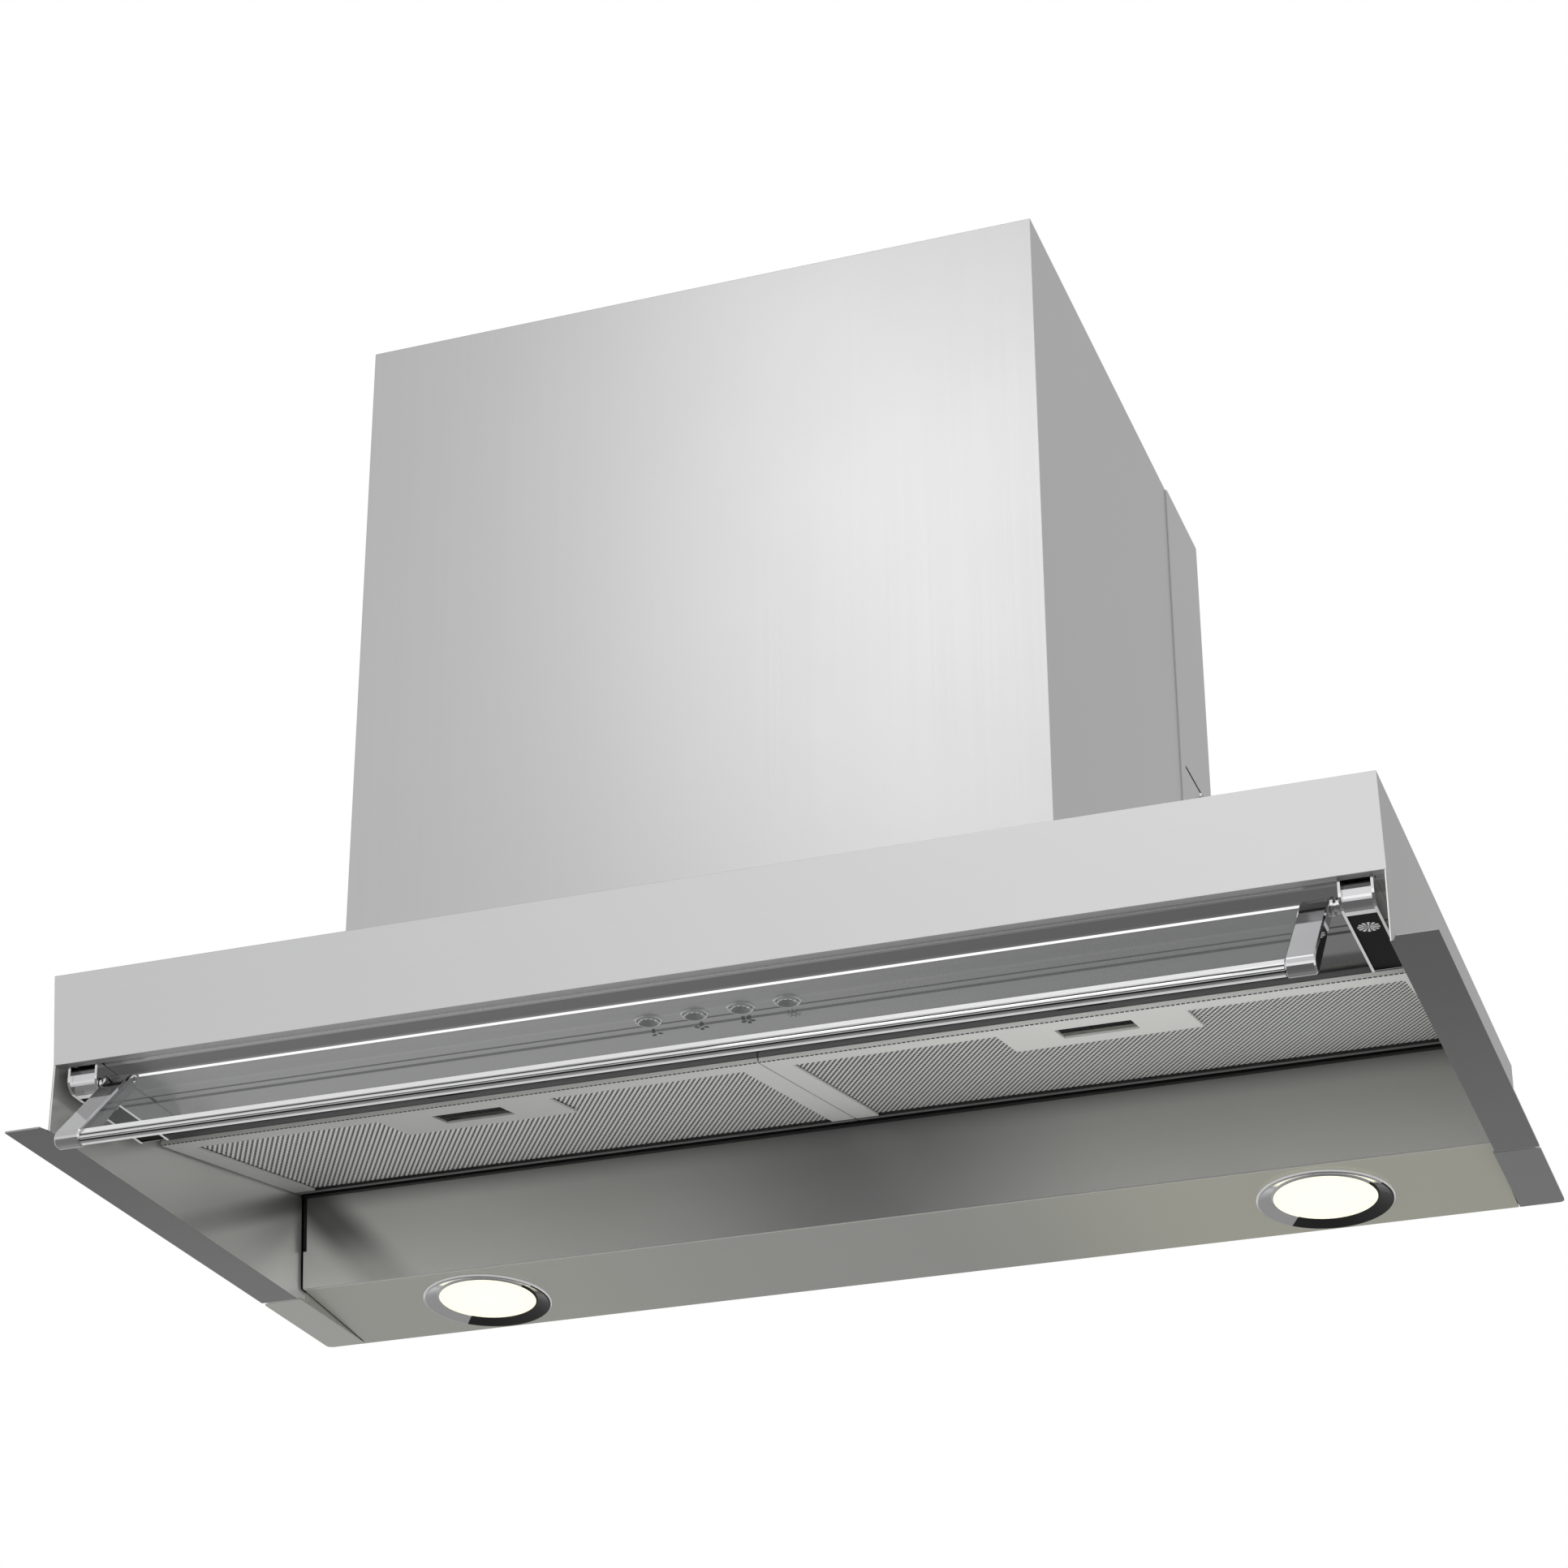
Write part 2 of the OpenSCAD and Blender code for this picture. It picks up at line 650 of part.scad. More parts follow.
module hinge_bracket(s) {
    color([0.8, 0.8, 0.82])
    difference() {
        union() {
            across(s*bracket_x0, s*(bracket_x0 + cheek_t)) cheek_outline();
            across(s*(bracket_x1 - cheek_t), s*bracket_x1) cheek_outline();
            across(s*(bracket_x0 + cheek_t/2), s*(bracket_x1 - cheek_t/2)) block_outline();
        }
        // Pocket for the black cover
        across(s*(bracket_x0 + cheek_t), s*(bracket_x1 - cheek_t))
            translate(at(bracket_flat_y + cheek_t, bracket_z - over))
                square([bracket_len - 2*cheek_t, over + cover_recess + sheet]);
        // Bore of the hinge pin
        translate([s*bracket_x0, front_y + pivot_y, base_z + pivot_z]) to_x()
            cylinder(r = pin_r + run, h = 2*(bracket_w - 2*cheek_t), center = true);
        // Hole of the bracket's screw
        translate([s*(bracket_x0 + bracket_x1)/2, front_y + bracket_screw_y, base_z + bracket_z - over])
            cylinder(r = bracket_screw_r/2, h = bracket_h + 2*over);
    }
}
module hinge_bracket_left() { hinge_bracket(-1); }
module hinge_bracket_right() { hinge_bracket(1); }

module bracket_covers() {
    color([0.08, 0.08, 0.08])
    for (s = sides) difference() {
        across(s*(bracket_x0 + cheek_t + seat), s*(bracket_x1 - cheek_t - seat))
            translate(at(bracket_flat_y + cheek_t + seat, bracket_z + cover_recess))
                square([bracket_len - 2*cheek_t - 2*seat, sheet]);
        translate([s*(bracket_x0 + bracket_x1)/2, front_y + bracket_screw_y, base_z + bracket_z])
            cylinder(r = bracket_screw_r + seat, h = bracket_h);
    }
}

module bracket_screws() {
    color([0.78, 0.78, 0.8])
    for (s = sides)
        translate([s*(bracket_x0 + bracket_x1)/2, front_y + bracket_screw_y, base_z + bracket_z])
            difference() {
                union() {
                    translate([0, 0, cover_recess]) cylinder(r = bracket_screw_r, h = sheet - seat/2);
                    cylinder(r = bracket_screw_r/2 - seat, h = bracket_h + 3*sheet);
                }
                translate([0, 0, -over])
                    cylinder(r1 = bracket_screw_r, r2 = sheet, h = over + cover_recess + sheet*0.9, $fn = 12);
            }
}

// Visor: side view in the arms' own directions, along the arm and across it

arm_dir = [-sin(open_angle), -cos(open_angle)];
arm_side = [cos(open_angle), -sin(open_angle)];
function arm_at(a, b) = at(pivot_y, pivot_z) + a*arm_dir + b*arm_side;
nose_a = visor_reach - nose_r;
nose_b = nose_r - arm_t/2;
glass_b = arm_t/2 - glass_t;
rail_lip = 1;
rail_depth = 7;
rail_a = visor_reach - rail_depth;
rail_r = (arm_t/2 + nose_b/2 - glass_b + rail_lip)/2;
rail_b = glass_b - rail_lip + rail_r;
rail_tip = visor_reach - slip - rail_r;
flute_r = 0.45;

// Chamfer along the edges of an arm
arm_chamfer = 0.7;

module arm_outline(inset) {
    polygon(concat([for (p = arc_points([0, 0], arm_t/2 - inset, 270, 90, 10)) arm_at(p[0], p[1])],
        [for (p = arc_points([nose_a, nose_b], nose_r - inset, 90, -90, 12)) arm_at(p[0], p[1])]));
}

module visor_arm(s) {
    color([0.8, 0.8, 0.82])
    difference() {
        hull() {
            across(s*arm_x0, s*arm_x1) arm_outline(arm_chamfer);
            across(s*(arm_x0 + arm_chamfer), s*(arm_x1 - arm_chamfer)) arm_outline(0);
        }
        translate([s*(arm_x0 + arm_x1)/2, front_y + pivot_y, base_z + pivot_z]) to_x()
            cylinder(r = pin_r + press, h = arm_w + 2*over, center = true);
    }
}
module visor_arm_left() { visor_arm(-1); }
module visor_arm_right() { visor_arm(1); }

module visor_glass() {
    color([0.7, 0.72, 0.72, 0.4])
    along_x(2*(arm_x0 - seat)) polygon([arm_at(-glass_top, glass_b), arm_at(rail_a + rail_lip*2, glass_b),
        arm_at(rail_a + rail_lip*2, glass_b + glass_t), arm_at(-glass_top, glass_b + glass_t)]);
}

module visor_rail() {
    color([0.8, 0.8, 0.82])
    along_x(2*(arm_x0 - seat)) difference() {
        polygon(concat([arm_at(rail_a, rail_b - rail_r)],
            [for (p = arc_points([rail_tip, rail_b], rail_r, -90, 90, 12)) arm_at(p[0], p[1])],
            [arm_at(rail_a, rail_b + rail_r)]));
        polygon([arm_at(rail_a - over, glass_b - press), arm_at(rail_a + rail_lip*2 + press, glass_b - press),
            arm_at(rail_a + rail_lip*2 + press, glass_b + glass_t + press),
            arm_at(rail_a - over, glass_b + glass_t + press)]);
        for (a = [-64, -22, 20]) translate(arm_at(rail_tip + rail_r*cos(a), rail_b + rail_r*sin(a)))
            circle(r = flute_r, $fn = 16);
    }
}

module hinge_pins() {
    collar = hinge_gap/3 - seat;
    color([0.55, 0.55, 0.56])
    for (s = sides) translate([0, front_y + pivot_y, base_z + pivot_z]) mirror([s < 0 ? 1 : 0, 0, 0])
        to_x() rotate_extrude() polygon([[0, arm_x0 + cheek_t], [pin_r, arm_x0 + cheek_t],
            [pin_r, arm_x1 + seat], [pin_collar_r, arm_x1 + seat], [pin_collar_r, arm_x1 + seat + collar],
            [pin_r*1.3, arm_x1 + seat + collar], [pin_r*1.3, bracket_x0 - slip - collar],
            [pin_collar_r*0.85, bracket_x0 - slip - collar], [pin_collar_r*0.85, bracket_x0 - slip],
            [pin_r, bracket_x0 - slip], [pin_r, bracket_x1 - 3*cheek_t], [0, bracket_x1 - 3*cheek_t]]);
}

// Filters: an aluminium frame round a pack of expanded mesh, with a sprung latch

latch_cup = filter_t - 2*filter_wall;
slot_inset = 2.6;
slot_front = front_border + slot_inset;
// Height of the seam in a filter's front wall
seam_z = 2*filter_wall;
// Height of the latch's tongue in the frame, above the panel's back edge
tongue_z = latch_cup - 2*filter_wall - slip;

module at_filter(s) {
    mirror([s < 0 ? 1 : 0, 0, 0])
        translate([filter_mid_gap/2, front_y + filter_y, base_z + filter_z])
            rotate([filter_tilt, 0, 0]) children();
}

// A block of the filter, from its corner and its size
module block(x, y, z, w, l, h) { translate([x, y, z]) cube([w, l, h]); }

module filter_frame(s) {
    wall = filter_wall;
    cup_w = slot_w + 6*wall;
    cup_l = latch_plate_len - 2*wall;
    color([0.77, 0.77, 0.75])
    at_filter(s) difference() {
        union() {
            difference() {
                block(0, 0, 0, filter_w, filter_len, filter_t);
                block(wall, wall, wall, filter_w - 2*wall, filter_len - 2*wall, filter_t - 2*wall);
                difference() {
                    block(side_border, front_border, -over, filter_w - 2*side_border,
                        filter_len - front_border - rear_border, filter_t + 2*over);
                    block(filter_mid - latch_plate_w/2, 0, 0, latch_plate_w,
                        front_border + latch_plate_len, wall);
                }
            }
            // Cup that carries the latch behind its slot
            difference() {
                block(filter_mid - cup_w/2, wall/2, wall/2, cup_w, front_border + cup_l, latch_cup + wall/2);
                block(filter_mid - cup_w/2 + wall, wall/4, wall, cup_w - 2*wall,
                    front_border + cup_l - wall*3/4, latch_cup - wall);
            }
            for (k = sides) block(filter_mid + k*filter_w*tab_x_share - tab_w/2, filter_len - wall/2, tab_z,
                tab_w, tab_len + wall/2, wall);
        }
        block(filter_mid - slot_w/2, slot_front, -over, slot_w, slot_len, wall + 2*over);
        // Folded seam along the front wall
        block(-over, -over, seam_z, filter_w + 2*over, over + wall*0.4, wall/2);
        // Window in the front wall for the latch's tongue
        block(filter_mid - slot_w/3, -over, tongue_z - slip, 2*slot_w/3, wall*2 + over, 2*wall + 2*slip);
    }
}
module filter_frame_left() { filter_frame(-1); }
module filter_frame_right() { filter_frame(1); }

// Pack of expanded mesh: a plate with a diamond lattice, round the latch's cup
module filter_mesh(s) {
    wall = filter_wall;
    inset = wall + seat;
    net_w = filter_w - 2*side_border;
    net_l = filter_len - front_border - rear_border;
    columns = floor(net_w/diamond_w) - 1;
    rows = floor(2*net_l/diamond_h) - 2;
    half_w = (diamond_w - strand_w*1.4)/2;
    half_h = (diamond_h - strand_w)/2;
    keep_w = latch_plate_w/2 + strand_w;
    keep_l = front_border + latch_plate_len + strand_w;
    x_first = side_border + (net_w - columns*diamond_w)/2;
    y_first = front_border + (net_l - rows*diamond_h/2)/2;
    color([0.72, 0.72, 0.7])
    at_filter(s) translate([0, 0, wall + seat]) linear_extrude(filter_t - 2*inset) difference() {
        translate([inset, inset]) square([filter_w - 2*inset, filter_len - 2*inset]);
        translate([filter_mid - latch_plate_w/2, 0])
            square([latch_plate_w, front_border + latch_plate_len]);
        for (j = [0:rows], i = [0:columns - j%2]) {
            x = x_first + (i + (j%2)/2)*diamond_w;
            y = y_first + j*diamond_h/2;
            if (abs(x - filter_mid) > keep_w + half_w || y > keep_l + half_h)
                translate([x, y]) polygon([[-half_w, 0], [0, -half_h], [half_w, 0], [0, half_h]]);
        }
    }
}
module filter_mesh_left() { filter_mesh(-1); }
module filter_mesh_right() { filter_mesh(1); }

module filter_latch(s) {
    wall = filter_wall;
    grip_w = slot_w - 2*wall;
    grip_l = slot_len - latch_travel - 2*wall;
    color([0.15, 0.15, 0.16])
    at_filter(s) {
        block(filter_mid - grip_w/2 - wall, slot_front - wall, 2*wall + seat, grip_w + 2*wall,
            grip_l + 2*wall, 2*wall);
        block(filter_mid - slot_w/3 + slip, 0, tongue_z, 2*slot_w/3 - 2*slip, slot_front + wall, 2*wall);
        block(filter_mid - slot_w/3 + slip, slot_front - wall, 2*wall + seat, 2*slot_w/3 - 2*slip,
            2*wall, tongue_z - seat);
        for (i = [0:2])
            block(filter_mid - grip_w/2, slot_front + slip + i*grip_l/3, wall/2, grip_w, grip_l/3 - wall,
                2*wall);
    }
}
module filter_latch_left() { filter_latch(-1); }
module filter_latch_right() { filter_latch(1); }

// Motor housing

cover_x = housing_x + sheet;
cover_lift = 3;
screw_r = 3.4;
fold_setback = 2;
base_fold = opening_inset - fold_setback;

module motor_housing() {
    lap_y = seam_y + lap;
    color([0.83, 0.83, 0.84]) {
        linear_extrude(housing_h) bent_sheet([[-housing_x, lap_y], [-housing_x, housing_y],
            [housing_x, housing_y], [housing_x, lap_y]], sheet);
        linear_extrude(sheet) difference() {
            translate([-housing_x, housing_y]) square([housing_w, lap_y - housing_y]);
            translate([-housing_x + base_fold, housing_y + base_fold])
                square([housing_w - 2*base_fold, lap_y - housing_y]);
        }
    }
}

module housing_top() {
    x1 = housing_in_x - seat;
    y0 = housing_y + sheet + seat;
    y1 = back_y - sheet - seat;
    duct_hole_r = collar_in;
    color([0.75, 0.75, 0.76])
    difference() {
        translate([0, 0, top_under - fold_w]) linear_extrude(fold_w + sheet)
            polygon([[-x1, y0], [x1, y0], [x1, y1 - cover_r/2], [x1 - cover_r/2, y1],
                [-x1 + cover_r/2, y1], [-x1, y1 - cover_r/2]]);
        translate([-x1 + sheet, y0 + sheet, top_under - fold_w - over])
            cube([2*x1 - 2*sheet, y1 - y0 - cover_r/2 - sheet, fold_w + over]);
        translate([0, outlet_y, top_under - over]) cylinder(r = duct_hole_r, h = sheet + 2*over);
    }
}

module back_cover() {
    path = concat([[cover_x, seam_y]],
        arc_points([cover_x - cover_r, back_y + sheet - cover_r], cover_r, 0, 90, 6),
        arc_points([-cover_x + cover_r, back_y + sheet - cover_r], cover_r, 90, 180, 6),
        [[-cover_x, seam_y]]);
    color([0.66, 0.66, 0.67])
    difference() {
        translate([0, 0, cover_lift]) linear_extrude(housing_h - cover_lift) bent_sheet(path, sheet);
        for (s = sides) translate([s*cover_x, back_y - cover_wing/2 + slit_front/2 - cover_r, slit_z])
            cube([4*sheet, cover_wing - slit_front - 2*cover_r, slit_w], center = true);
    }
}

module screw_head(r) {
    difference() {
        cylinder(r1 = r, r2 = r*0.72, h = r*0.5);
        translate([0, 0, r*0.3]) cylinder(r = r*0.36, h = r, $fn = 6);
    }
}

module housing_screws() {
    side_screw_r = screw_r/2;
    color([0.8, 0.8, 0.82]) {
        for (s = sides) {
            translate([s*cover_x, back_y - cover_wing*0.45, slit_z - slit_w/2 - side_screw_r])
                rotate([0, s*90, 0]) screw_head(side_screw_r);
            for (y = [0.2, 0.5, 0.8])
                translate([s*(housing_x - base_fold/2 - sheet), housing_y + y*(seam_y - housing_y), sheet])
                    screw_head(screw_r);
        }
        for (x = [-0.7, 0, 0.7])
            translate([x*housing_x, back_y + sheet, housing_h - fold_w/2]) rotate([-90, 0, 0])
                screw_head(screw_r);
    }
}

// Outlet collar with its back-draught damper

collar_screw_r = collar_r + collar_flange/2;
knuckle_room = 4;
ledge = 3;

module outlet_collar() {
    // Top of the ledge that the closed flaps rest on
    ledge_z = pin_z - housing_h - flap_t/2 - seat;
    color([0.14, 0.14, 0.15])
    translate([0, outlet_y, housing_h]) difference() {
        rotate_extrude() polygon([[collar_in, 0], [collar_r + collar_flange, 0],
            [collar_r + collar_flange, collar_base], [collar_r + collar_base/2, collar_base],
            [collar_r, collar_base*1.5], [collar_r, collar_h - collar_wall],
            [collar_r - collar_wall*0.4, collar_h], [collar_in, collar_h], [collar_in, ledge_z],
            [collar_in - ledge, ledge_z], [collar_in, ledge_z - ledge]]);
        for (a = [45:90:315]) rotate([0, 0, a]) translate([collar_screw_r, 0, -over])
            cylinder(r = screw_r*0.6, h = collar_base + 2*over);
        translate([0, 0, pin_z - housing_h]) rotate([90, 0, 0])
            cylinder(r = damper_pin_r + press, h = 2*(collar_r - collar_wall*0.4), center = true);
        // Room for the pin and the flaps' knuckles over the ledge
        for (k = sides) translate([0, k*(collar_in - ledge), ledge_z - knuckle_room + over/2])
            cube([2*knuckle_room, 2*ledge - over, 2*knuckle_room], center = true);
    }
}

module damper_pin() {
    color([0.7, 0.7, 0.72])
    translate([0, outlet_y, pin_z]) rotate([90, 0, 0])
        cylinder(r = damper_pin_r, h = 2*(collar_r - collar_wall*0.6), center = true);
}

knuckle_r = damper_pin_r + run + 1.2;
knuckle_len = collar_in*0.41;

// Each flap has every other one of the four knuckles along the pin
module damper_flap(s) {
    r = collar_in - 2*slip;
    color([0.2, 0.2, 0.21])
    translate([0, outlet_y, pin_z]) difference() {
        union() {
            intersection() {
                translate([0, 0, -flap_t/2]) cylinder(r = r, h = flap_t);
                translate([s > 0 ? 0 : -r, -r, -flap_t]) cube([r, 2*r, 2*flap_t]);
            }
            for (k = [0, 2]) translate([0, ((s < 0 ? -2 : -1) + k + 0.5)*knuckle_len, 0]) rotate([90, 0, 0])
                cylinder(r = knuckle_r, h = knuckle_len - slip, center = true);
        }
        rotate([90, 0, 0]) cylinder(r = damper_pin_r + run, h = 4*r, center = true);
        // Room for the other flap's knuckles
        for (k = [0, 2]) translate([0, ((s < 0 ? -1 : -2) + k + 0.5)*knuckle_len, 0])
            cube([2*(knuckle_r + slip), knuckle_len + slip, 2*knuckle_r + slip], center = true);
        // Beyond the knuckles the flap stays clear of the pin
        for (k = sides) translate([0, k*(2*knuckle_len + r/2), 0])
            cube([2*(knuckle_r + slip), r, 2*knuckle_r], center = true);
    }
}
module damper_flap_left() { damper_flap(-1); }
module damper_flap_right() { damper_flap(1); }

// Duct from the scroll's square outlet to the round collar
duct_wall = 1.6;
module outlet_duct() {
    z0 = outlet_z + seat/2;
    z1 = top_under - seat/2;
    color([0.16, 0.16, 0.17])
    difference() {
        hull() {
            translate([-scroll_w/2, fan_y + tongue_y - scroll_wall, z0])
                cube([scroll_w, outlet_out - tongue_y + 2*scroll_wall, duct_wall]);
            translate([0, outlet_y, z1 - duct_wall])
                cylinder(r = collar_in + duct_wall, h = duct_wall, $fn = hull_fn);
        }
        hull() {
            translate([-scroll_w/2 + scroll_wall, fan_y + tongue_y, z0 - over])
                cube([scroll_w - 2*scroll_wall, outlet_out - tongue_y, duct_wall + over]);
            translate([0, outlet_y, z1 - duct_wall])
                cylinder(r = collar_in, h = duct_wall + over, $fn = hull_fn);
        }
    }
}

// Scroll

// Side view of the scroll grown by a wall, from the tongue round to the outlet
module scroll_outline(wall) {
    start = acos((tongue_y - wall)/(spiral_r0 + wall));
    polygon(concat(
        [for (i = [0:spiral_steps]) let(a = start + (turn - start)*i/spiral_steps)
            [fan_y, fan_z] + (spiral_r(max(a, tongue_a)) + wall)*[cos(a), sin(a)]],
        [[fan_y + outlet_out + wall, outlet_z], [fan_y + tongue_y - wall, outlet_z]]));
}

module at_fan() { translate([0, fan_y, fan_z]) children(); }

bolt_r = 2.5;
lug_t = 5;
// Lugs round the scroll, at these angles
lug_a = [128, 222, 268, 335];
lug_r = 6;
function lug_at(a) = [fan_y, fan_z] + (spiral_r(a) + scroll_wall + lug_r*0.85)*[cos(a), sin(a)];
module at_lug(a) { translate([0, lug_at(a)[0], lug_at(a)[1]]) to_x() children(); }

module scroll_half(s) {
    half = scroll_w/2;
    color(s < 0 ? [0.2, 0.2, 0.21] : [0.17, 0.17, 0.18])
    difference() {
        union() {
            across(s*seat/2, s*half) scroll_outline(scroll_wall);
            across(s*seat/2, s*lug_t) for (a = lug_a) translate(lug_at(a)) circle(r = lug_r);
        }
        across(-s*over, s*(half - scroll_wall)) scroll_outline(0);
        // Open top of the outlet
        across(-s*over, s*(half - scroll_wall))
            translate([fan_y + tongue_y, outlet_z - over]) square([outlet_out - tongue_y, 2*over]);
        // Bell-mouthed inlet
        at_fan() to_x() rotate_extrude() polygon(concat([[0, 0], [inlet_r, 0]],
            [for (p = arc_points([inlet_r + bell_r, half - bell_r], bell_r, 180, 90, 6)) [p[0], s*p[1]]],
            [[inlet_r + bell_r, s*(half + over)], [0, s*(half + over)]]));
        for (a = lug_a) at_lug(a) cylinder(r = bolt_r + press, h = 4*lug_t, center = true);
        if (s < 0) at_arms(-half - over) cylinder(r = bolt_r - seat + press, h = scroll_wall + 2*over);
    }
    // Lip of the bell mouth, inside the side plate
    color([0.2, 0.2, 0.21])
    at_fan() to_x() rotate_extrude() polygon(concat(
        [for (p = arc_points([inlet_r + bell_r, half - bell_r], bell_r, 180, 90, 6)) [p[0], s*p[1]]],
        [for (p = arc_points([inlet_r + bell_r, half - bell_r], bell_r - scroll_wall, 90, 180, 6)) [p[0], s*p[1]]]));
}
module scroll_left() { scroll_half(-1); }
module scroll_right() { scroll_half(1); }

module scroll_bolts() {
    color([0.75, 0.75, 0.77])
    for (a = lug_a) at_lug(a) {
        cylinder(r = bolt_r, h = 2*(lug_t + bolt_r), center = true);
        translate([0, 0, lug_t + seat/2]) cylinder(r = 1.8*bolt_r, h = bolt_r, $fn = 6);
        translate([0, 0, -lug_t - seat/2 - bolt_r]) cylinder(r = 1.8*bolt_r, h = bolt_r);
    }
}

// Two angle brackets between the scroll's front and the housing's front wall
module blower_brackets() {
    strap_w = 22;
    strap_x_share = 0.3;
    depth = scroll_gap - seat;
    color([0.72, 0.72, 0.74])
    for (s = sides) across(s*scroll_w*strap_x_share - strap_w/2, s*scroll_w*strap_x_share + strap_w/2)
        translate([housing_y + sheet + seat/2, fan_z - spiral_r0*0.2]) {
            square([2*sheet, spiral_r0*0.4]);
            translate([0, spiral_r0*0.2 - sheet]) square([depth - sheet, 2*sheet]);
        }
}

// Impeller: forward-curved blades between two end rings, on a disc with a hub
module impeller() {
    r_in = fan_r - blade_d;
    ring_t = 2;
    hub_r = 3*shaft_r;
    hub_len = fan_w*0.24;
    inset = 0.4;
    steps = 5;
    blade_path = [for (i = [0:steps]) let(t = i/steps, r = r_in + inset + (blade_d - 2*inset)*t)
        r*[cos(blade_sweep*t*t), sin(blade_sweep*t*t)]];
    color([0.85, 0.85, 0.83])
    at_fan() to_x() difference() {
        union() {
            linear_extrude(fan_w, center = true)
                for (i = [0:blade_count - 1]) rotate(i*turn/blade_count) bent_sheet(blade_path, blade_t);
            cylinder(r = fan_r, h = ring_t, center = true);
            for (k = sides) translate([0, 0, k*(fan_w - ring_t)/2]) difference() {
                cylinder(r = fan_r, h = ring_t, center = true);
                cylinder(r = r_in, h = ring_t + 2*over, center = true);
            }
            cylinder(r = hub_r, h = hub_len);
        }
        translate([0, 0, -fan_w/2]) cylinder(r = shaft_r + press, h = fan_w);
    }
}

// Motor, carried by a three-armed bracket on the scroll's left side
motor_r = fan_r*motor_share;
// How far the motor stands out of the scroll
motor_out = 5;
motor_x0 = -scroll_w/2 - motor_out;
motor_x1 = motor_x0 + motor_len;
bearing_r = 11;
bearing_w = 7;
bracket_t = 3;
grommet_r = 6;
arm_r = inlet_r + bell_r + grommet_r + 2;

module fan_motor() {
    lead = 4;
    color([0.45, 0.45, 0.47])
    at_fan() to_x() rotate_extrude() polygon([
        [shaft_r + 2*slip, motor_x0 + bearing_w + press], [bearing_r + press, motor_x0 + bearing_w + press],
        [bearing_r + press, motor_x0], [motor_r - lead, motor_x0], [motor_r, motor_x0 + lead],
        [motor_r, motor_x0 + motor_len*0.42], [motor_r - lead/2, motor_x0 + motor_len*0.44],
        [motor_r - lead/2, motor_x0 + motor_len*0.56], [motor_r, motor_x0 + motor_len*0.58],
        [motor_r, motor_x1 - lead], [motor_r - lead, motor_x1], [bearing_r + press, motor_x1],
        [bearing_r + press, motor_x1 - bearing_w - press], [shaft_r + 2*slip, motor_x1 - bearing_w - press]]);
}

module motor_bearings() {
    color([0.7, 0.7, 0.72])
    at_fan() for (x = [motor_x0 + slip, motor_x1 - bearing_w]) translate([x, 0, 0]) to_x()
        difference() {
            cylinder(r = bearing_r, h = bearing_w - slip);
            translate([0, 0, -over]) cylinder(r = shaft_r + run, h = bearing_w + 2*over);
        }
}

module motor_shaft() {
    color([0.75, 0.75, 0.77])
    at_fan() translate([motor_x0 + slip, 0, 0]) to_x() cylinder(r = shaft_r, h = fan_w*0.28 - motor_x0);
}

// Places its children at the ends of the bracket's three arms, at x along the fan's axis
module at_arms(x) {
    at_fan() for (a = [0:120:240]) rotate([a, 0, 0]) translate([x, arm_r, 0]) to_x() children();
}

module motor_bracket() {
    arm_width = 12;
    disc_r = motor_r*0.7;
    bracket_x = motor_x0 - bracket_t - seat/2;
    color([0.68, 0.68, 0.7])
    difference() {
        union() {
            at_fan() translate([bracket_x, 0, 0]) to_x() cylinder(r = disc_r, h = bracket_t);
            at_fan() for (a = [0:120:240]) rotate([a, 0, 0])
                translate([bracket_x, 0, -arm_width/2]) cube([bracket_t, arm_r, arm_width]);
            at_arms(bracket_x) cylinder(r = arm_width/2 + sheet, h = bracket_t);
        }
        at_fan() translate([bracket_x - over, 0, 0]) to_x() cylinder(r = bearing_r, h = bracket_t + 2*over);
        at_arms(bracket_x - over) cylinder(r = bolt_r, h = bracket_t + 2*over);
    }
}

module motor_grommets() {
    color([0.1, 0.1, 0.1])
    at_arms(motor_x0 + seat/2) difference() {
        cylinder(r = grommet_r, h = -scroll_w/2 - motor_x0 - seat);
        translate([0, 0, -over]) cylinder(r = bolt_r, h = scroll_w);
    }
}

module motor_screws() {
    head_h = bolt_r;
    shank = bracket_t - scroll_w/2 - motor_x0 + scroll_wall;
    color([0.75, 0.75, 0.77])
    at_arms(motor_x0 - bracket_t - seat - head_h) {
        cylinder(r = 2*bolt_r, h = head_h, $fn = 6);
        cylinder(r = bolt_r - seat, h = head_h + shank);
    }
}

// Capacitor and its clip, on the left wall of the housing
cap_r = 14;
cap_h = 62;
cap_z = 24;
cap_wall = 2;
module at_capacitor() {
    translate([-housing_in_x + cap_r + cap_wall + seat, housing_y + sheet + cap_r + 4*lap, cap_z]) children();
}

module capacitor() {
    color([0.85, 0.85, 0.82])
    at_capacitor() {
        cylinder(r = cap_r, h = cap_h);
        translate([0, 0, cap_h]) cylinder(r1 = cap_r, r2 = cap_r - cap_wall, h = cap_wall);
        for (k = sides) translate([k*cap_r/3, 0, cap_h]) cylinder(r = cap_wall/2, h = 4*cap_wall);
    }
}

module capacitor_clip() {
    color([0.7, 0.7, 0.72])
    at_capacitor() translate([0, 0, cap_h*0.35]) linear_extrude(cap_h*0.25) {
        difference() {
            circle(r = cap_r + cap_wall*0.6);
            circle(r = cap_r + press);
            translate([0, -cap_r/2]) square([2*cap_r, cap_r]);
        }
        translate([-cap_r - cap_wall, -cap_r*0.7]) square([cap_wall*0.5, cap_r*1.4]);
    }
}

// Terminal box with its gland, on top of the housing
box_wall = 2;
box_share = 0.8138;
box_w = (housing_in_x - 2*box_wall - collar_r - collar_flange)*box_share;
box_l = 64;
box_h = 26;
gland_r = 9;
cord_r = 4;
gland_z = box_h/2;
gland_nut = 12;

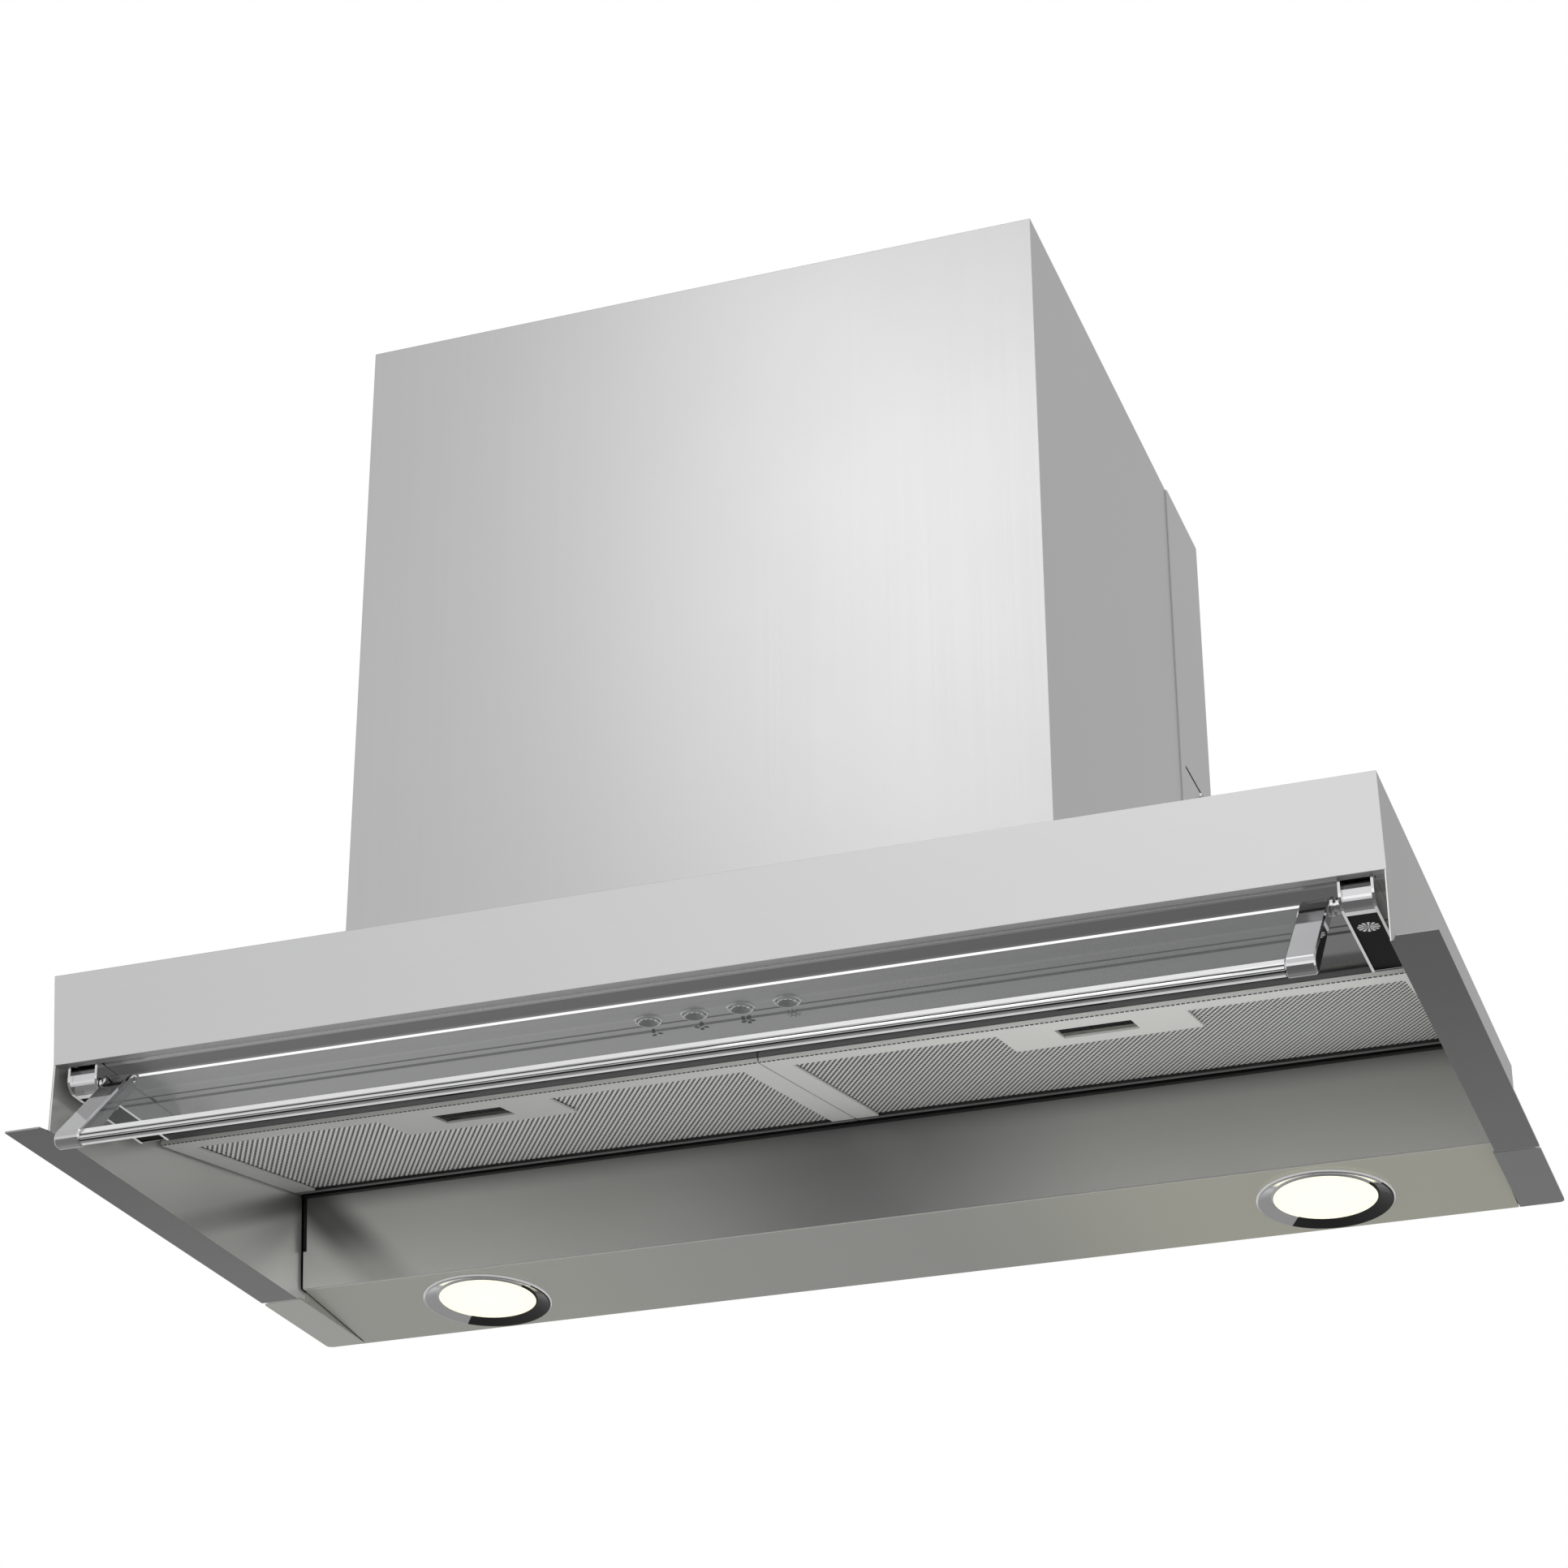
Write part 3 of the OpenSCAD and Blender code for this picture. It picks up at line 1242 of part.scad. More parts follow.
module at_box() {
    translate([-housing_in_x + 2*box_wall, back_y - sheet - box_l - 3*lap, housing_h + seat/2]) children();
}

module terminal_box() {
    color([0.9, 0.9, 0.88])
    at_box() difference() {
        cube([box_w, box_l, box_h]);
        translate([box_wall, box_wall, box_wall]) cube([box_w - 2*box_wall, box_l - 2*box_wall, box_h]);
        translate([box_w/2, box_l - box_wall - over, gland_z]) rotate([-90, 0, 0])
            cylinder(r = gland_r*0.7, h = box_wall + 2*over);
    }
}

module terminal_box_lid() {
    color([0.86, 0.86, 0.84])
    at_box() translate([0, 0, box_h + seat/2]) {
        cube([box_w, box_l, box_wall]);
        for (y = [0.15, 0.85]) translate([box_w/2, y*box_l, box_wall]) screw_head(screw_r*0.8);
    }
}

module cable_gland() {
    thread = gland_r*0.7 - press;
    color([0.25, 0.25, 0.26])
    at_box() translate([box_w/2, box_l, gland_z]) rotate([-90, 0, 0]) difference() {
        union() {
            translate([0, 0, seat/2]) cylinder(r = gland_r, h = box_wall, $fn = 6);
            translate([0, 0, -2*box_wall]) cylinder(r = thread, h = 3*box_wall);
            translate([0, 0, box_wall]) cylinder(r = gland_r*0.85, h = gland_nut*0.6);
            translate([0, 0, box_wall + gland_nut*0.6])
                cylinder(r1 = gland_r*0.85, r2 = cord_r + box_wall*0.8, h = gland_nut*0.4);
        }
        translate([0, 0, -3*box_wall]) cylinder(r = cord_r, h = gland_nut + 6*box_wall);
    }
}

canopy_shell();
fascia();
control_panel();
baffle_wall();
light_panel();
corner_plates();
filter_rail();
motor_housing();
housing_top();
back_cover();
housing_screws();
outlet_collar();
damper_pin();
damper_flap_left();
damper_flap_right();
outlet_duct();
scroll_left();
scroll_right();
scroll_bolts();
blower_brackets();
impeller();
fan_motor();
motor_shaft();
motor_bearings();
motor_bracket();
motor_grommets();
motor_screws();
capacitor();
capacitor_clip();
terminal_box();
terminal_box_lid();
cable_gland();
switch_board();
push_switches();
switch_cover();
button_rings();
button_speed_low();
button_speed_mid();
button_speed_high();
button_lamp();
lamp_trims();
lamp_lenses();
lamp_bodies();
lamp_springs();
lamp_driver();
hinge_bracket_left();
hinge_bracket_right();
bracket_covers();
bracket_screws();
visor_glass();
visor_arm_left();
visor_arm_right();
visor_rail();
hinge_pins();
filter_frame_left();
filter_frame_right();
filter_mesh_left();
filter_mesh_right();
filter_latch_left();
filter_latch_right();
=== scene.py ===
import math

import bmesh
import bpy
from mathutils import Matrix, Vector


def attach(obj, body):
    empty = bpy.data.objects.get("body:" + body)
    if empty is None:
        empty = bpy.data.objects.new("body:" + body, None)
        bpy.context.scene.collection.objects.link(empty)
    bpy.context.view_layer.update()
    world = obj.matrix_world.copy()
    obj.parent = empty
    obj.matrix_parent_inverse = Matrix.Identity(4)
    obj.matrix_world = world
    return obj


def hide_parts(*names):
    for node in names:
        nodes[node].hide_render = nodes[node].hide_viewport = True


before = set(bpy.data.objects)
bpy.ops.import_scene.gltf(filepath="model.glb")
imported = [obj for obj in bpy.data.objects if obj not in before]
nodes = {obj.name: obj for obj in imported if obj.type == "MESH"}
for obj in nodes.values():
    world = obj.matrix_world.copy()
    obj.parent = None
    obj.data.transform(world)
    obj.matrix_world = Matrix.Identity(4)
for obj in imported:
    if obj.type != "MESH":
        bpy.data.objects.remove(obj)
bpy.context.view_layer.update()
MM = 0.001


# Shader maths

class Wire:
    """A shader socket that takes part in Python arithmetic: each operation adds its Math node."""

    def __init__(self, paint, socket):
        self.paint = paint
        self.socket = socket

    def math(self, operation, *values):
        """The result of one Math node on these values."""
        inputs = dict(enumerate(values))
        return self.paint.add("ShaderNodeMath", {"operation": operation}, inputs, "Value")

    def __add__(self, other):
        return self.math("ADD", self, other)

    __radd__ = __add__

    def __sub__(self, other):
        return self.math("SUBTRACT", self, other)

    def __rsub__(self, other):
        return self.math("SUBTRACT", other, self)

    def __mul__(self, other):
        return self.math("MULTIPLY", self, other)

    __rmul__ = __mul__

    def __truediv__(self, other):
        return self.math("DIVIDE", self, other)

    def __pow__(self, other):
        return self.math("POWER", self, other)

    def __gt__(self, other):
        return self.math("GREATER_THAN", self, other)

    def __lt__(self, other):
        return self.math("LESS_THAN", self, other)

    def at_least(self, other):
        return self.math("MAXIMUM", self, other)

    def at_most(self, other):
        return self.math("MINIMUM", self, other)

    def size(self):
        return self.math("ABSOLUTE", self)

    def sine(self):
        return self.math("SINE", self)

    def fraction(self):
        return self.math("FRACT", self)

    def angle(self, across):
        """The direction, in radians, of a point this far along one axis and that far across it."""
        return self.math("ARCTAN2", across, self)

    def near(self, place, reach):
        """1 within reach of a place."""
        return (self - place).size() < reach

    def ramp(self, low, high):
        """0 below low, 1 above high, and smooth between them."""
        return self.paint.add("ShaderNodeMapRange", {"interpolation_type": "SMOOTHSTEP"},
                              {"Value": self, "From Min": low, "From Max": high}, "Result")


class Paint:
    """A node tree that is written as expressions."""

    def __init__(self, tree):
        self.tree = tree
        tree.nodes.clear()

    def add(self, kind, settings=None, inputs=None, out=None):
        """One node: its settings first, then the values or links of its sockets. It gives the
        named output, or the node itself."""
        node = self.tree.nodes.new(kind)
        for key, value in (settings or {}).items():
            setattr(node, key, value)
        for key, value in (inputs or {}).items():
            self.plug(node.inputs[key], value)
        return Wire(self, node.outputs[out]) if out is not None else node

    def plug(self, socket, value):
        """Links a socket to a wire or a node, or sets its value. A colour of three gets its alpha."""
        if isinstance(value, Wire):
            self.tree.links.new(value.socket, socket)
        elif isinstance(value, bpy.types.Node):
            self.tree.links.new(value.outputs[0], socket)
        else:
            if isinstance(value, tuple) and socket.type == "RGBA" and len(value) == 3:
                value = (*value, 1)
            socket.default_value = value

    def place(self):
        """Where a point of the piece is, in metres, in its own frame."""
        return self.add("ShaderNodeTexCoord", out="Object")

    def parts(self, vector):
        """The x, y and z of a vector."""
        node = self.add("ShaderNodeSeparateXYZ", inputs={"Vector": vector})
        return [Wire(self, node.outputs[axis]) for axis in "XYZ"]

    def scaled(self, vector, factors):
        inputs = {0: vector, 1: factors}
        return self.add("ShaderNodeVectorMath", {"operation": "MULTIPLY"}, inputs, "Vector")

    def noise(self, vector, scale, detail):
        inputs = {"Vector": vector, "Scale": scale, "Detail": detail}
        return self.add("ShaderNodeTexNoise", inputs=inputs, out="Fac")

    def mix(self, factor, first, second):
        """A colour between two colours."""
        node = self.add("ShaderNodeMix", {"data_type": "RGBA"})
        for index, value in ((0, factor), (6, first), (7, second)):
            self.plug(node.inputs[index], value)
        return Wire(self, node.outputs[2])

    def soft_edges(self, radius):
        """The normal of a surface with slightly broken edges, which catch the light."""
        return self.add("ShaderNodeBevel", {"samples": 4}, {"Radius": radius}, "Normal")

    def bump(self, height, strength, distance, normal=None):
        """The normal of a surface with this relief, laid over another normal if one is given."""
        inputs = {"Height": height, "Strength": strength, "Distance": distance}
        if normal is not None:
            inputs["Normal"] = normal
        return self.add("ShaderNodeBump", inputs=inputs, out="Normal")


def grey(level):
    return (level, level, level)


def tint(colour, factor):
    """A colour made darker or lighter, and never more than white."""
    return tuple(min(1.0, c*factor) for c in colour)


def new_paint(name):
    material = bpy.data.materials.new(name)
    material.use_nodes = True
    return material, Paint(material.node_tree)


def shade(paint, sockets):
    """The surface shader of a finish, with its varying and its constant sockets."""
    surface = paint.add("ShaderNodeBsdfPrincipled", inputs=sockets)
    paint.add("ShaderNodeOutputMaterial", inputs={"Surface": surface})


# Places on the part that its finishes follow, in metres, in the frame of the part

INNER_WALL_X = 0.2807
FLANGE_TOP = -0.06795
TOP_INNER_Z = -0.0004
BACK_INNER_Y = 0.1515
# The soft streak of painted shade on a side wall: a point of it, and its rise towards the back
STREAK_Y = 0.069
STREAK_Z = -0.0234
STREAK_RISE = 0.453

# The crease between the baffle and the light panel, and how both lean away from it
CREASE_Y = 0.0802
CREASE_Z = -0.0623
BAFFLE_SLOPE = 0.0932
LIGHT_SLOPE = 0.0765
LIGHT_FRONT_Y = 0.0815
# Where the upper half of the baffle's ends is painted black, as shade in the gap beside the side walls
BAFFLE_SLOT_X = 0.2770
BAFFLE_SLOT_Z = -0.0450
# The start of the soft patch of painted shade at the baffle's left end, and how it drifts as it runs
# down
SHADE_PATCH_X = -0.276
SHADE_PATCH_Z = -0.020
SHADE_PATCH_DRIFT = 0.94

LAMP_X = 0.2
LAMP_Y = 0.11550
LENS_R = 0.023
LENS_RING = 0.0016
LAMP_GLOW = 1.04
# Radius of a lamp trim's flat face, and the middle and half width of its painted dark reflection, in
# radians
TRIM_FACE_R = 0.0298
TRIM_SHADE = (0.95, 1.36)

# Front and rear edge of the control panel's groove, and half the width of the painted shade lines along
# them
GROOVE_EDGES = (-0.1055, -0.0992)
GROOVE_LINES = (0.0011, 0.0007)
# The panel's strips painted darker: in front of the glass a painted dark reflection, and by the filters
# painted shade
PANEL_BEND_Y = -0.1425
PANEL_GLASS_Y = (-0.1335, -0.1300)
PANEL_DULL_Y = (-0.083, -0.077)

BUTTON_Y = -0.1111
BUTTON_PITCH = 0.020
BUTTON_SCALLOPS = 12
# Middle and half width of the scalloped rim of a button's dish, and where the scallops end
DISH_RIM = (0.0037, 0.0006)
DISH_RIM_BACK = -0.0008
DISH_R = 0.0040

SCREW_X = 0.26855
SCREW_Y = -0.1270
SCREW_FACETS = 12
BRACKET_EDGE_Z = -0.0500

# The visor's hinge line, and its directions along the glass and across it when it is open
PIVOT_Y = -0.1445
PIVOT_Z = -0.0470
VISOR_ANGLE = math.radians(44.4)
VISOR_DIR = (-math.sin(VISOR_ANGLE), -math.cos(VISOR_ANGLE))
VISOR_SIDE = (math.cos(VISOR_ANGLE), -math.sin(VISOR_ANGLE))
GLASS_TOP = -0.00425
GLASS_EDGE_B = 0.0003
GLASS_VEIL = 0.07
# Middle of the rail, along the visor and across it, and directions round it, in degrees
RAIL_TIP = 0.0546
RAIL_B = 0.00091
RAIL_RIDGES = (-84, 26)
RAIL_FLUTES = (-64, -10)
RAIL_FLUTE_REACH = 7

FILTER_ORIGIN = Vector((0.0004, -0.06264, -0.0422))
FILTER_TILT = math.radians(10)
# In a filter's own measures: the upper part of its front wall, painted in shade, and the dashed seam
# under it
FILTER_WALL_BACK = 0.0012
FILTER_WALL_UP = 0.0022
SEAM_W = 0.0008
SEAM_UP = 0.0003
SEAM_DASH = 0.0021
# The lip behind the mesh, painted in shade, and half the width of the black line of painted shade along
# it
FILTER_REAR_Y = 0.0664
FILTER_REAR_LINE = 0.0005


# Finishes

STAINLESS = (0.50, 0.50, 0.505)
GRAIN_ALONG = 5
GRAIN_ACROSS = 1400
GRAIN_TONE = 0.02
GLOSS_SPREAD = 0.06
SHEET_EDGE_R = 0.0004
CHROME_EDGE_R = 0.0003
FINE_RELIEF = 0.0002
CAST_RELIEF = 0.0003


def brushed(name, colour, roughness, along=0, grain_depth=0.03, metal=1.0, mask=None,
            edge_r=SHEET_EDGE_R):
    """Brushed sheet: fine scratches along one axis, and a slow variation of gloss from handling.
    mask gives, from x, y and z, how far each region goes to another colour, and that colour."""
    material, paint = new_paint(name)
    place = paint.place()
    factors = [GRAIN_ACROSS]*3
    factors[along] = GRAIN_ALONG
    grain = paint.noise(paint.scaled(place, tuple(factors)), 1, 3)
    soft_patch = paint.noise(place, 9, 4)
    body = paint.mix(grain, tint(colour, 1 - GRAIN_TONE), tint(colour, 1 + GRAIN_TONE))
    if mask is not None:
        for factor, other in mask(*paint.parts(place)):
            body = paint.mix(factor, body, other)
    normal = paint.soft_edges(edge_r) if edge_r else None
    shade(paint, {
        "Base Color": body,
        "Metallic": metal,
        "Roughness": roughness + (grain - 0.5)*GLOSS_SPREAD + (soft_patch - 0.5)*GLOSS_SPREAD,
        "Normal": paint.bump(grain, grain_depth, FINE_RELIEF, normal),
    })
    return material


def chrome(name, colour, roughness, edge_r=CHROME_EDGE_R, bright=None, dark=None):
    """Polished metal with faint wear in its gloss. bright gives, from x, y and z, where a painted
    highlight turns it white, and dark where painted shade and dark reflections turn it grey."""
    material, paint = new_paint(name)
    place = paint.place()
    wear = paint.noise(place, 60, 4)
    body = paint.mix(wear, tint(colour, 0.96), tint(colour, 1.03))
    sockets = {"Metallic": 1.0, "Roughness": roughness + wear.ramp(0.55, 0.8)*0.05}
    if dark is not None:
        body = paint.mix(dark(*paint.parts(place)), body, grey(0.06))
    if bright is not None:
        edge = bright(*paint.parts(place))
        body = paint.mix(edge, body, grey(1.0))
        sockets["Metallic"] = 1 - edge*0.9
    if edge_r:
        sockets["Normal"] = paint.soft_edges(edge_r)
    shade(paint, {"Base Color": body, **sockets})
    return material


def plated(name, colour, roughness):
    """Zinc-plated steel: a patchy crystal tone over rolled sheet."""
    material, paint = new_paint(name)
    place = paint.place()
    crystals = paint.add("ShaderNodeTexVoronoi", {"feature": "F1"}, {"Vector": place, "Scale": 90.0},
                         "Distance")
    cloud = paint.noise(place, 30, 3)
    shade(paint, {
        "Base Color": paint.mix(crystals*0.7 + cloud*0.3, tint(colour, 0.85), tint(colour, 1.1)),
        "Metallic": 1.0,
        "Roughness": roughness + (cloud - 0.5)*0.15,
        "Normal": paint.bump(cloud, 0.05, FINE_RELIEF),
    })
    return material


def moulded(name, colour, roughness, grain_scale=1500, depth=0.1, gloss=0.5):
    """Moulded plastic or rubber with a fine spark-eroded grain."""
    material, paint = new_paint(name)
    place = paint.place()
    grain = paint.noise(place, grain_scale, 2)
    dust = paint.noise(place, 25, 4)
    shade(paint, {
        "Base Color": paint.mix(dust.ramp(0.4, 0.8), colour, tint(colour, 1.25)),
        "Roughness": roughness + (grain - 0.5)*0.1,
        "Specular IOR Level": gloss,
        "Normal": paint.bump(grain, depth, FINE_RELIEF),
    })
    return material


def cast(name, colour, roughness):
    """Painted or blackened cast metal, a little uneven."""
    material, paint = new_paint(name)
    place = paint.place()
    skin = paint.noise(place, 400, 3)
    shade(paint, {
        "Base Color": paint.mix(skin, tint(colour, 0.85), tint(colour, 1.15)),
        "Metallic": 0.6,
        "Roughness": roughness + (skin - 0.5)*0.2,
        "Normal": paint.bump(skin, 0.15, CAST_RELIEF),
    })
    return material


def visor_tint(name):
    """Clear glass of the visor, with faint wipe marks. Its polished top edge is painted white and made
    to glow, a painted highlight.
    The glass is clear by its alpha, which keeps what lies behind it crisp."""
    material, paint = new_paint(name)
    place = paint.place()
    wipe = paint.noise(paint.scaled(place, (6, 40, 40)), 1, 3)
    x, y, z = paint.parts(place)
    along, across = visor_frame(y, z)
    edge = (along < GLASS_TOP)*(across < GLASS_EDGE_B)
    pane = paint.mix(wipe, (0.52, 0.54, 0.54), (0.58, 0.60, 0.60))
    shade(paint, {
        "Base Color": paint.mix(edge, pane, grey(1.0)),
        "Roughness": 0.02,
        "Alpha": (GLASS_VEIL + wipe*0.02) + edge*(1 - GLASS_VEIL),
        "Emission Color": paint.mix(edge, grey(0.0), grey(0.5)),
        "Emission Strength": 1.0,
        "IOR": 1.45,
    })
    return material


def lit_lens(name):
    """Opal lens of a lamp that is on: brightest in the middle, with its moulded rings."""
    material, paint = new_paint(name)
    x, y, z = paint.parts(paint.place())
    dx = x.size() - LAMP_X
    dy = y - LAMP_Y
    radius = (dx*dx + dy*dy)**0.5
    rings = (radius*math.tau/LENS_RING).sine()
    glow = 1 - (radius/LENS_R)**2*0.12 + rings*0.01
    shade(paint, {
        "Base Color": (0.30, 0.29, 0.22),
        "Roughness": 0.5,
        "Emission Color": paint.mix(glow, (0.6, 0.57, 0.45), (1.0, 0.99, 0.77)),
        "Emission Strength": LAMP_GLOW,
    })
    return material


# Where each finish changes its tone

def canopy_tone(x, y, z):
    """The side walls are painted paler inside, painted light that is strongest at the rear, with a
    soft streak of painted shade. They are painted black behind the baffle and above the light
    panel, as the shade there. The flanges' polished underside is painted darker, a painted dark
    reflection, and lightens towards the back."""
    inside = (x.size() < INNER_WALL_X)*(z > FLANGE_TOP)
    behind = (y + (z - CREASE_Z)*BAFFLE_SLOPE > CREASE_Y)*(y < BACK_INNER_Y)
    above = (z + (y - CREASE_Y)*LIGHT_SLOPE > CREASE_Z)*(z < TOP_INNER_Z)
    low = (z < FLANGE_TOP)
    rear = y.ramp(-0.02, 0.06)
    off_shade_streak = (z - STREAK_Z - (y - STREAK_Y)*STREAK_RISE).size()
    shade_streak = (1 - off_shade_streak.ramp(0.001, 0.009))*(0.4 + rear*0.4)
    # Painted light inside the walls, painted shade in the streak and the cavity, and a painted dark
    # reflection under the flanges
    return [
        (inside, (0.80, 0.80, 0.78)),
        (inside*rear, (1.0, 1.0, 0.98)),
        (inside*shade_streak, grey(0.28)),
        (inside*behind*above, grey(0.01)),
        (low*(1 - y.ramp(-0.16, 0.09)*0.45), grey(0.20)),
    ]


def baffle_tone(x, y, z):
    """Painted shade midway between the lamps and along the top, and painted light on the left. A soft
    patch of painted shade runs down from the left end. The upper half of both ends is painted
    black, as shade in the gap beside the side walls."""
    off_shade_patch = (x - SHADE_PATCH_X + (z - SHADE_PATCH_Z)*SHADE_PATCH_DRIFT).size()
    soft_patch = (1 - off_shade_patch.ramp(0.004, 0.022))*(0.3 + z.ramp(-0.058, -0.034)*0.58)
    slot = (x.size() > BAFFLE_SLOT_X)*(z > BAFFLE_SLOT_Z)
    # Painted shade and painted light from the lamps, and a painted black slot of shade at the ends
    return [
        (1 - x.size().ramp(0.0, 0.12), grey(0.25)),
        ((0 - x).ramp(0.1, 0.25), (0.74, 0.74, 0.71)),
        (z.ramp(-0.030, -0.019)*0.5, grey(0.20)),
        (soft_patch, grey(0.13)),
        (slot, grey(0.01)),
    ]


def light_panel_tone(x, y, z):
    """Painted warm light beside the lamps and most of all on the right, with a painted highlight along
    the crease.
    """
    away = (x.size() - LAMP_X).size()
    # Painted lamp light, and a painted highlight at the crease
    return [
        (1 - away.ramp(0.02, 0.14), (0.66, 0.66, 0.60)),
        (x.ramp(0.02, 0.16)*0.75, (0.84, 0.84, 0.70)),
        ((y < LIGHT_FRONT_Y)*0.8, (1.0, 1.0, 0.95)),
    ]


def from_lamp(x, y):
    """How far a point is from the middle of the nearer lamp, along x and y."""
    return x - ((x > 0)*2 - 1)*LAMP_X, y - LAMP_Y


def trim_rim_highlights(x, y, z):
    """The bevelled outer rims of the lamp trims, painted white as a painted highlight."""
    dx, dy = from_lamp(x, y)
    return (dx*dx + dy*dy)**0.5 > TRIM_FACE_R


def trim_dark_reflections(x, y, z):
    """The part of each trim's polished face that carries a painted dark reflection, to the right and
    the back.
    """
    dx, dy = from_lamp(x, y)
    return dx.angle(dy).near(*TRIM_SHADE)*((dx*dx + dy*dy)**0.5 < TRIM_FACE_R)


def filter_tone(x, y, z):
    """The right filter is painted paler, painted light where more light falls. The seam along the front
    edge is a dull dashed joint. The upper part of the front wall and the rear lip are painted in
    shade, with a black line of painted shade along the mesh."""
    dy, dz = y - FILTER_ORIGIN.y, z - FILTER_ORIGIN.z
    back = dy*math.cos(FILTER_TILT) + dz*math.sin(FILTER_TILT)
    up = dz*math.cos(FILTER_TILT) - dy*math.sin(FILTER_TILT)
    wall_top = (back < FILTER_WALL_BACK)*(up > FILTER_WALL_UP)
    dashes = (x*(math.tau/SEAM_DASH)).sine() > -0.6
    seam = back.near(SEAM_W/2, SEAM_W/2)*(up < SEAM_UP)*dashes
    return [
        # Painted light on the right filter, and painted shade on the wall top, rear lip and its line
        (x.ramp(-0.2, 0.15), (1.0, 1.0, 0.96)),
        (wall_top, grey(0.17)),
        (seam, grey(0.06)),
        (y > FILTER_REAR_Y, grey(0.24)),
        (y.near(FILTER_REAR_Y, FILTER_REAR_LINE), grey(0.02)),
    ]


def net_tone(x, y, z):
    """The right filter's mesh is painted paler, painted light where more light falls."""
    return [(x.ramp(-0.2, 0.2), (1.0, 1.0, 0.97))]


def panel_tone(x, y, z):
    """Painted shade towards the right and along the strip next to the filters, a painted dark
    reflection on the strip in front of the glass, and painted shade lines along the pressed groove."""
    front_line = y.near(GROOVE_EDGES[0], GROOVE_LINES[0])
    rear_line = y.near(GROOVE_EDGES[1], GROOVE_LINES[1])
    front_strip = (y > PANEL_BEND_Y)*(1 - y.ramp(*PANEL_GLASS_Y))
    return [
        (x.ramp(-0.1, 0.2)*0.35, grey(0.20)),
        (front_line*0.9 + rear_line*0.5, grey(0.10)),
        (y.ramp(*PANEL_DULL_Y), grey(0.21)),
        (front_strip, grey(0.32)),
    ]


def bracket_edge_highlights(x, y, z):
    """The narrow undersides of the brackets' cheeks, painted white as a painted highlight."""
    return z < BRACKET_EDGE_Z


def visor_frame(y, z):
    """How far a point is along the visor from its hinge, and across it."""
    dy, dz = y - PIVOT_Y, z - PIVOT_Z
    return dy*VISOR_DIR[0] + dz*VISOR_DIR[1], dy*VISOR_SIDE[0] + dz*VISOR_SIDE[1]


def rail_turn(y, z):
    """The direction round the rail's own middle, in degrees."""
    along, across = visor_frame(y, z)
    return (along - RAIL_TIP).angle(across - RAIL_B)*(180/math.pi)


def rail_ridge_highlights(x, y, z):
    """The first and the last ridge of the rail, painted white as painted highlights."""
    turn = rail_turn(y, z)
    return ((turn > RAIL_RIDGES[1]) + (turn < RAIL_RIDGES[0])).at_most(1)


def rail_flute_shade(x, y, z):
    """The two hollow flutes between the ridges of the rail, painted grey with painted shade."""
    turn = rail_turn(y, z)
    first = turn.near(RAIL_FLUTES[0], RAIL_FLUTE_REACH)
    second = turn.near(RAIL_FLUTES[1], RAIL_FLUTE_REACH)
    return (first + second).at_most(1)


def screw_facet_highlights(x, y, z):
    """Painted highlights, light and dark by turns, that stand for fine turned facets round the middle
    of each bracket screw.
    """
    dx, dy = x.size() - SCREW_X, y - SCREW_Y
    return (dx.angle(dy)*SCREW_FACETS).sine().ramp(-0.1, 0.3)


def from_button(x, y):
    """How far a point is from the middle of the nearest button, along x and y."""
    return ((x/BUTTON_PITCH).fraction() - 0.5)*BUTTON_PITCH, y - BUTTON_Y


def dish_glints(x, y, z):
    """Glints on the scalloped front rim of the buttons' dishes."""
    dx, dy = from_button(x, y)
    radius = (dx*dx + dy*dy)**0.5
    scallops = ((dx.angle(dy)*BUTTON_SCALLOPS).sine() > 0.1)*(dy < DISH_RIM_BACK)
    return radius.near(*DISH_RIM)*scallops


def dish_dark_reflections(x, y, z):
    """The dishes themselves, with a painted dark reflection."""
    dx, dy = from_button(x, y)
    return ((dx*dx + dy*dy)**0.5 < DISH_R)*0.75


def corner_tone(x, y, z):
    """The left corner plate is painted the paler of the two, with the painted light of the lamp beside
    it.
    """
    return [((0 - x).ramp(0.25, 0.28), (0.72, 0.72, 0.68))]


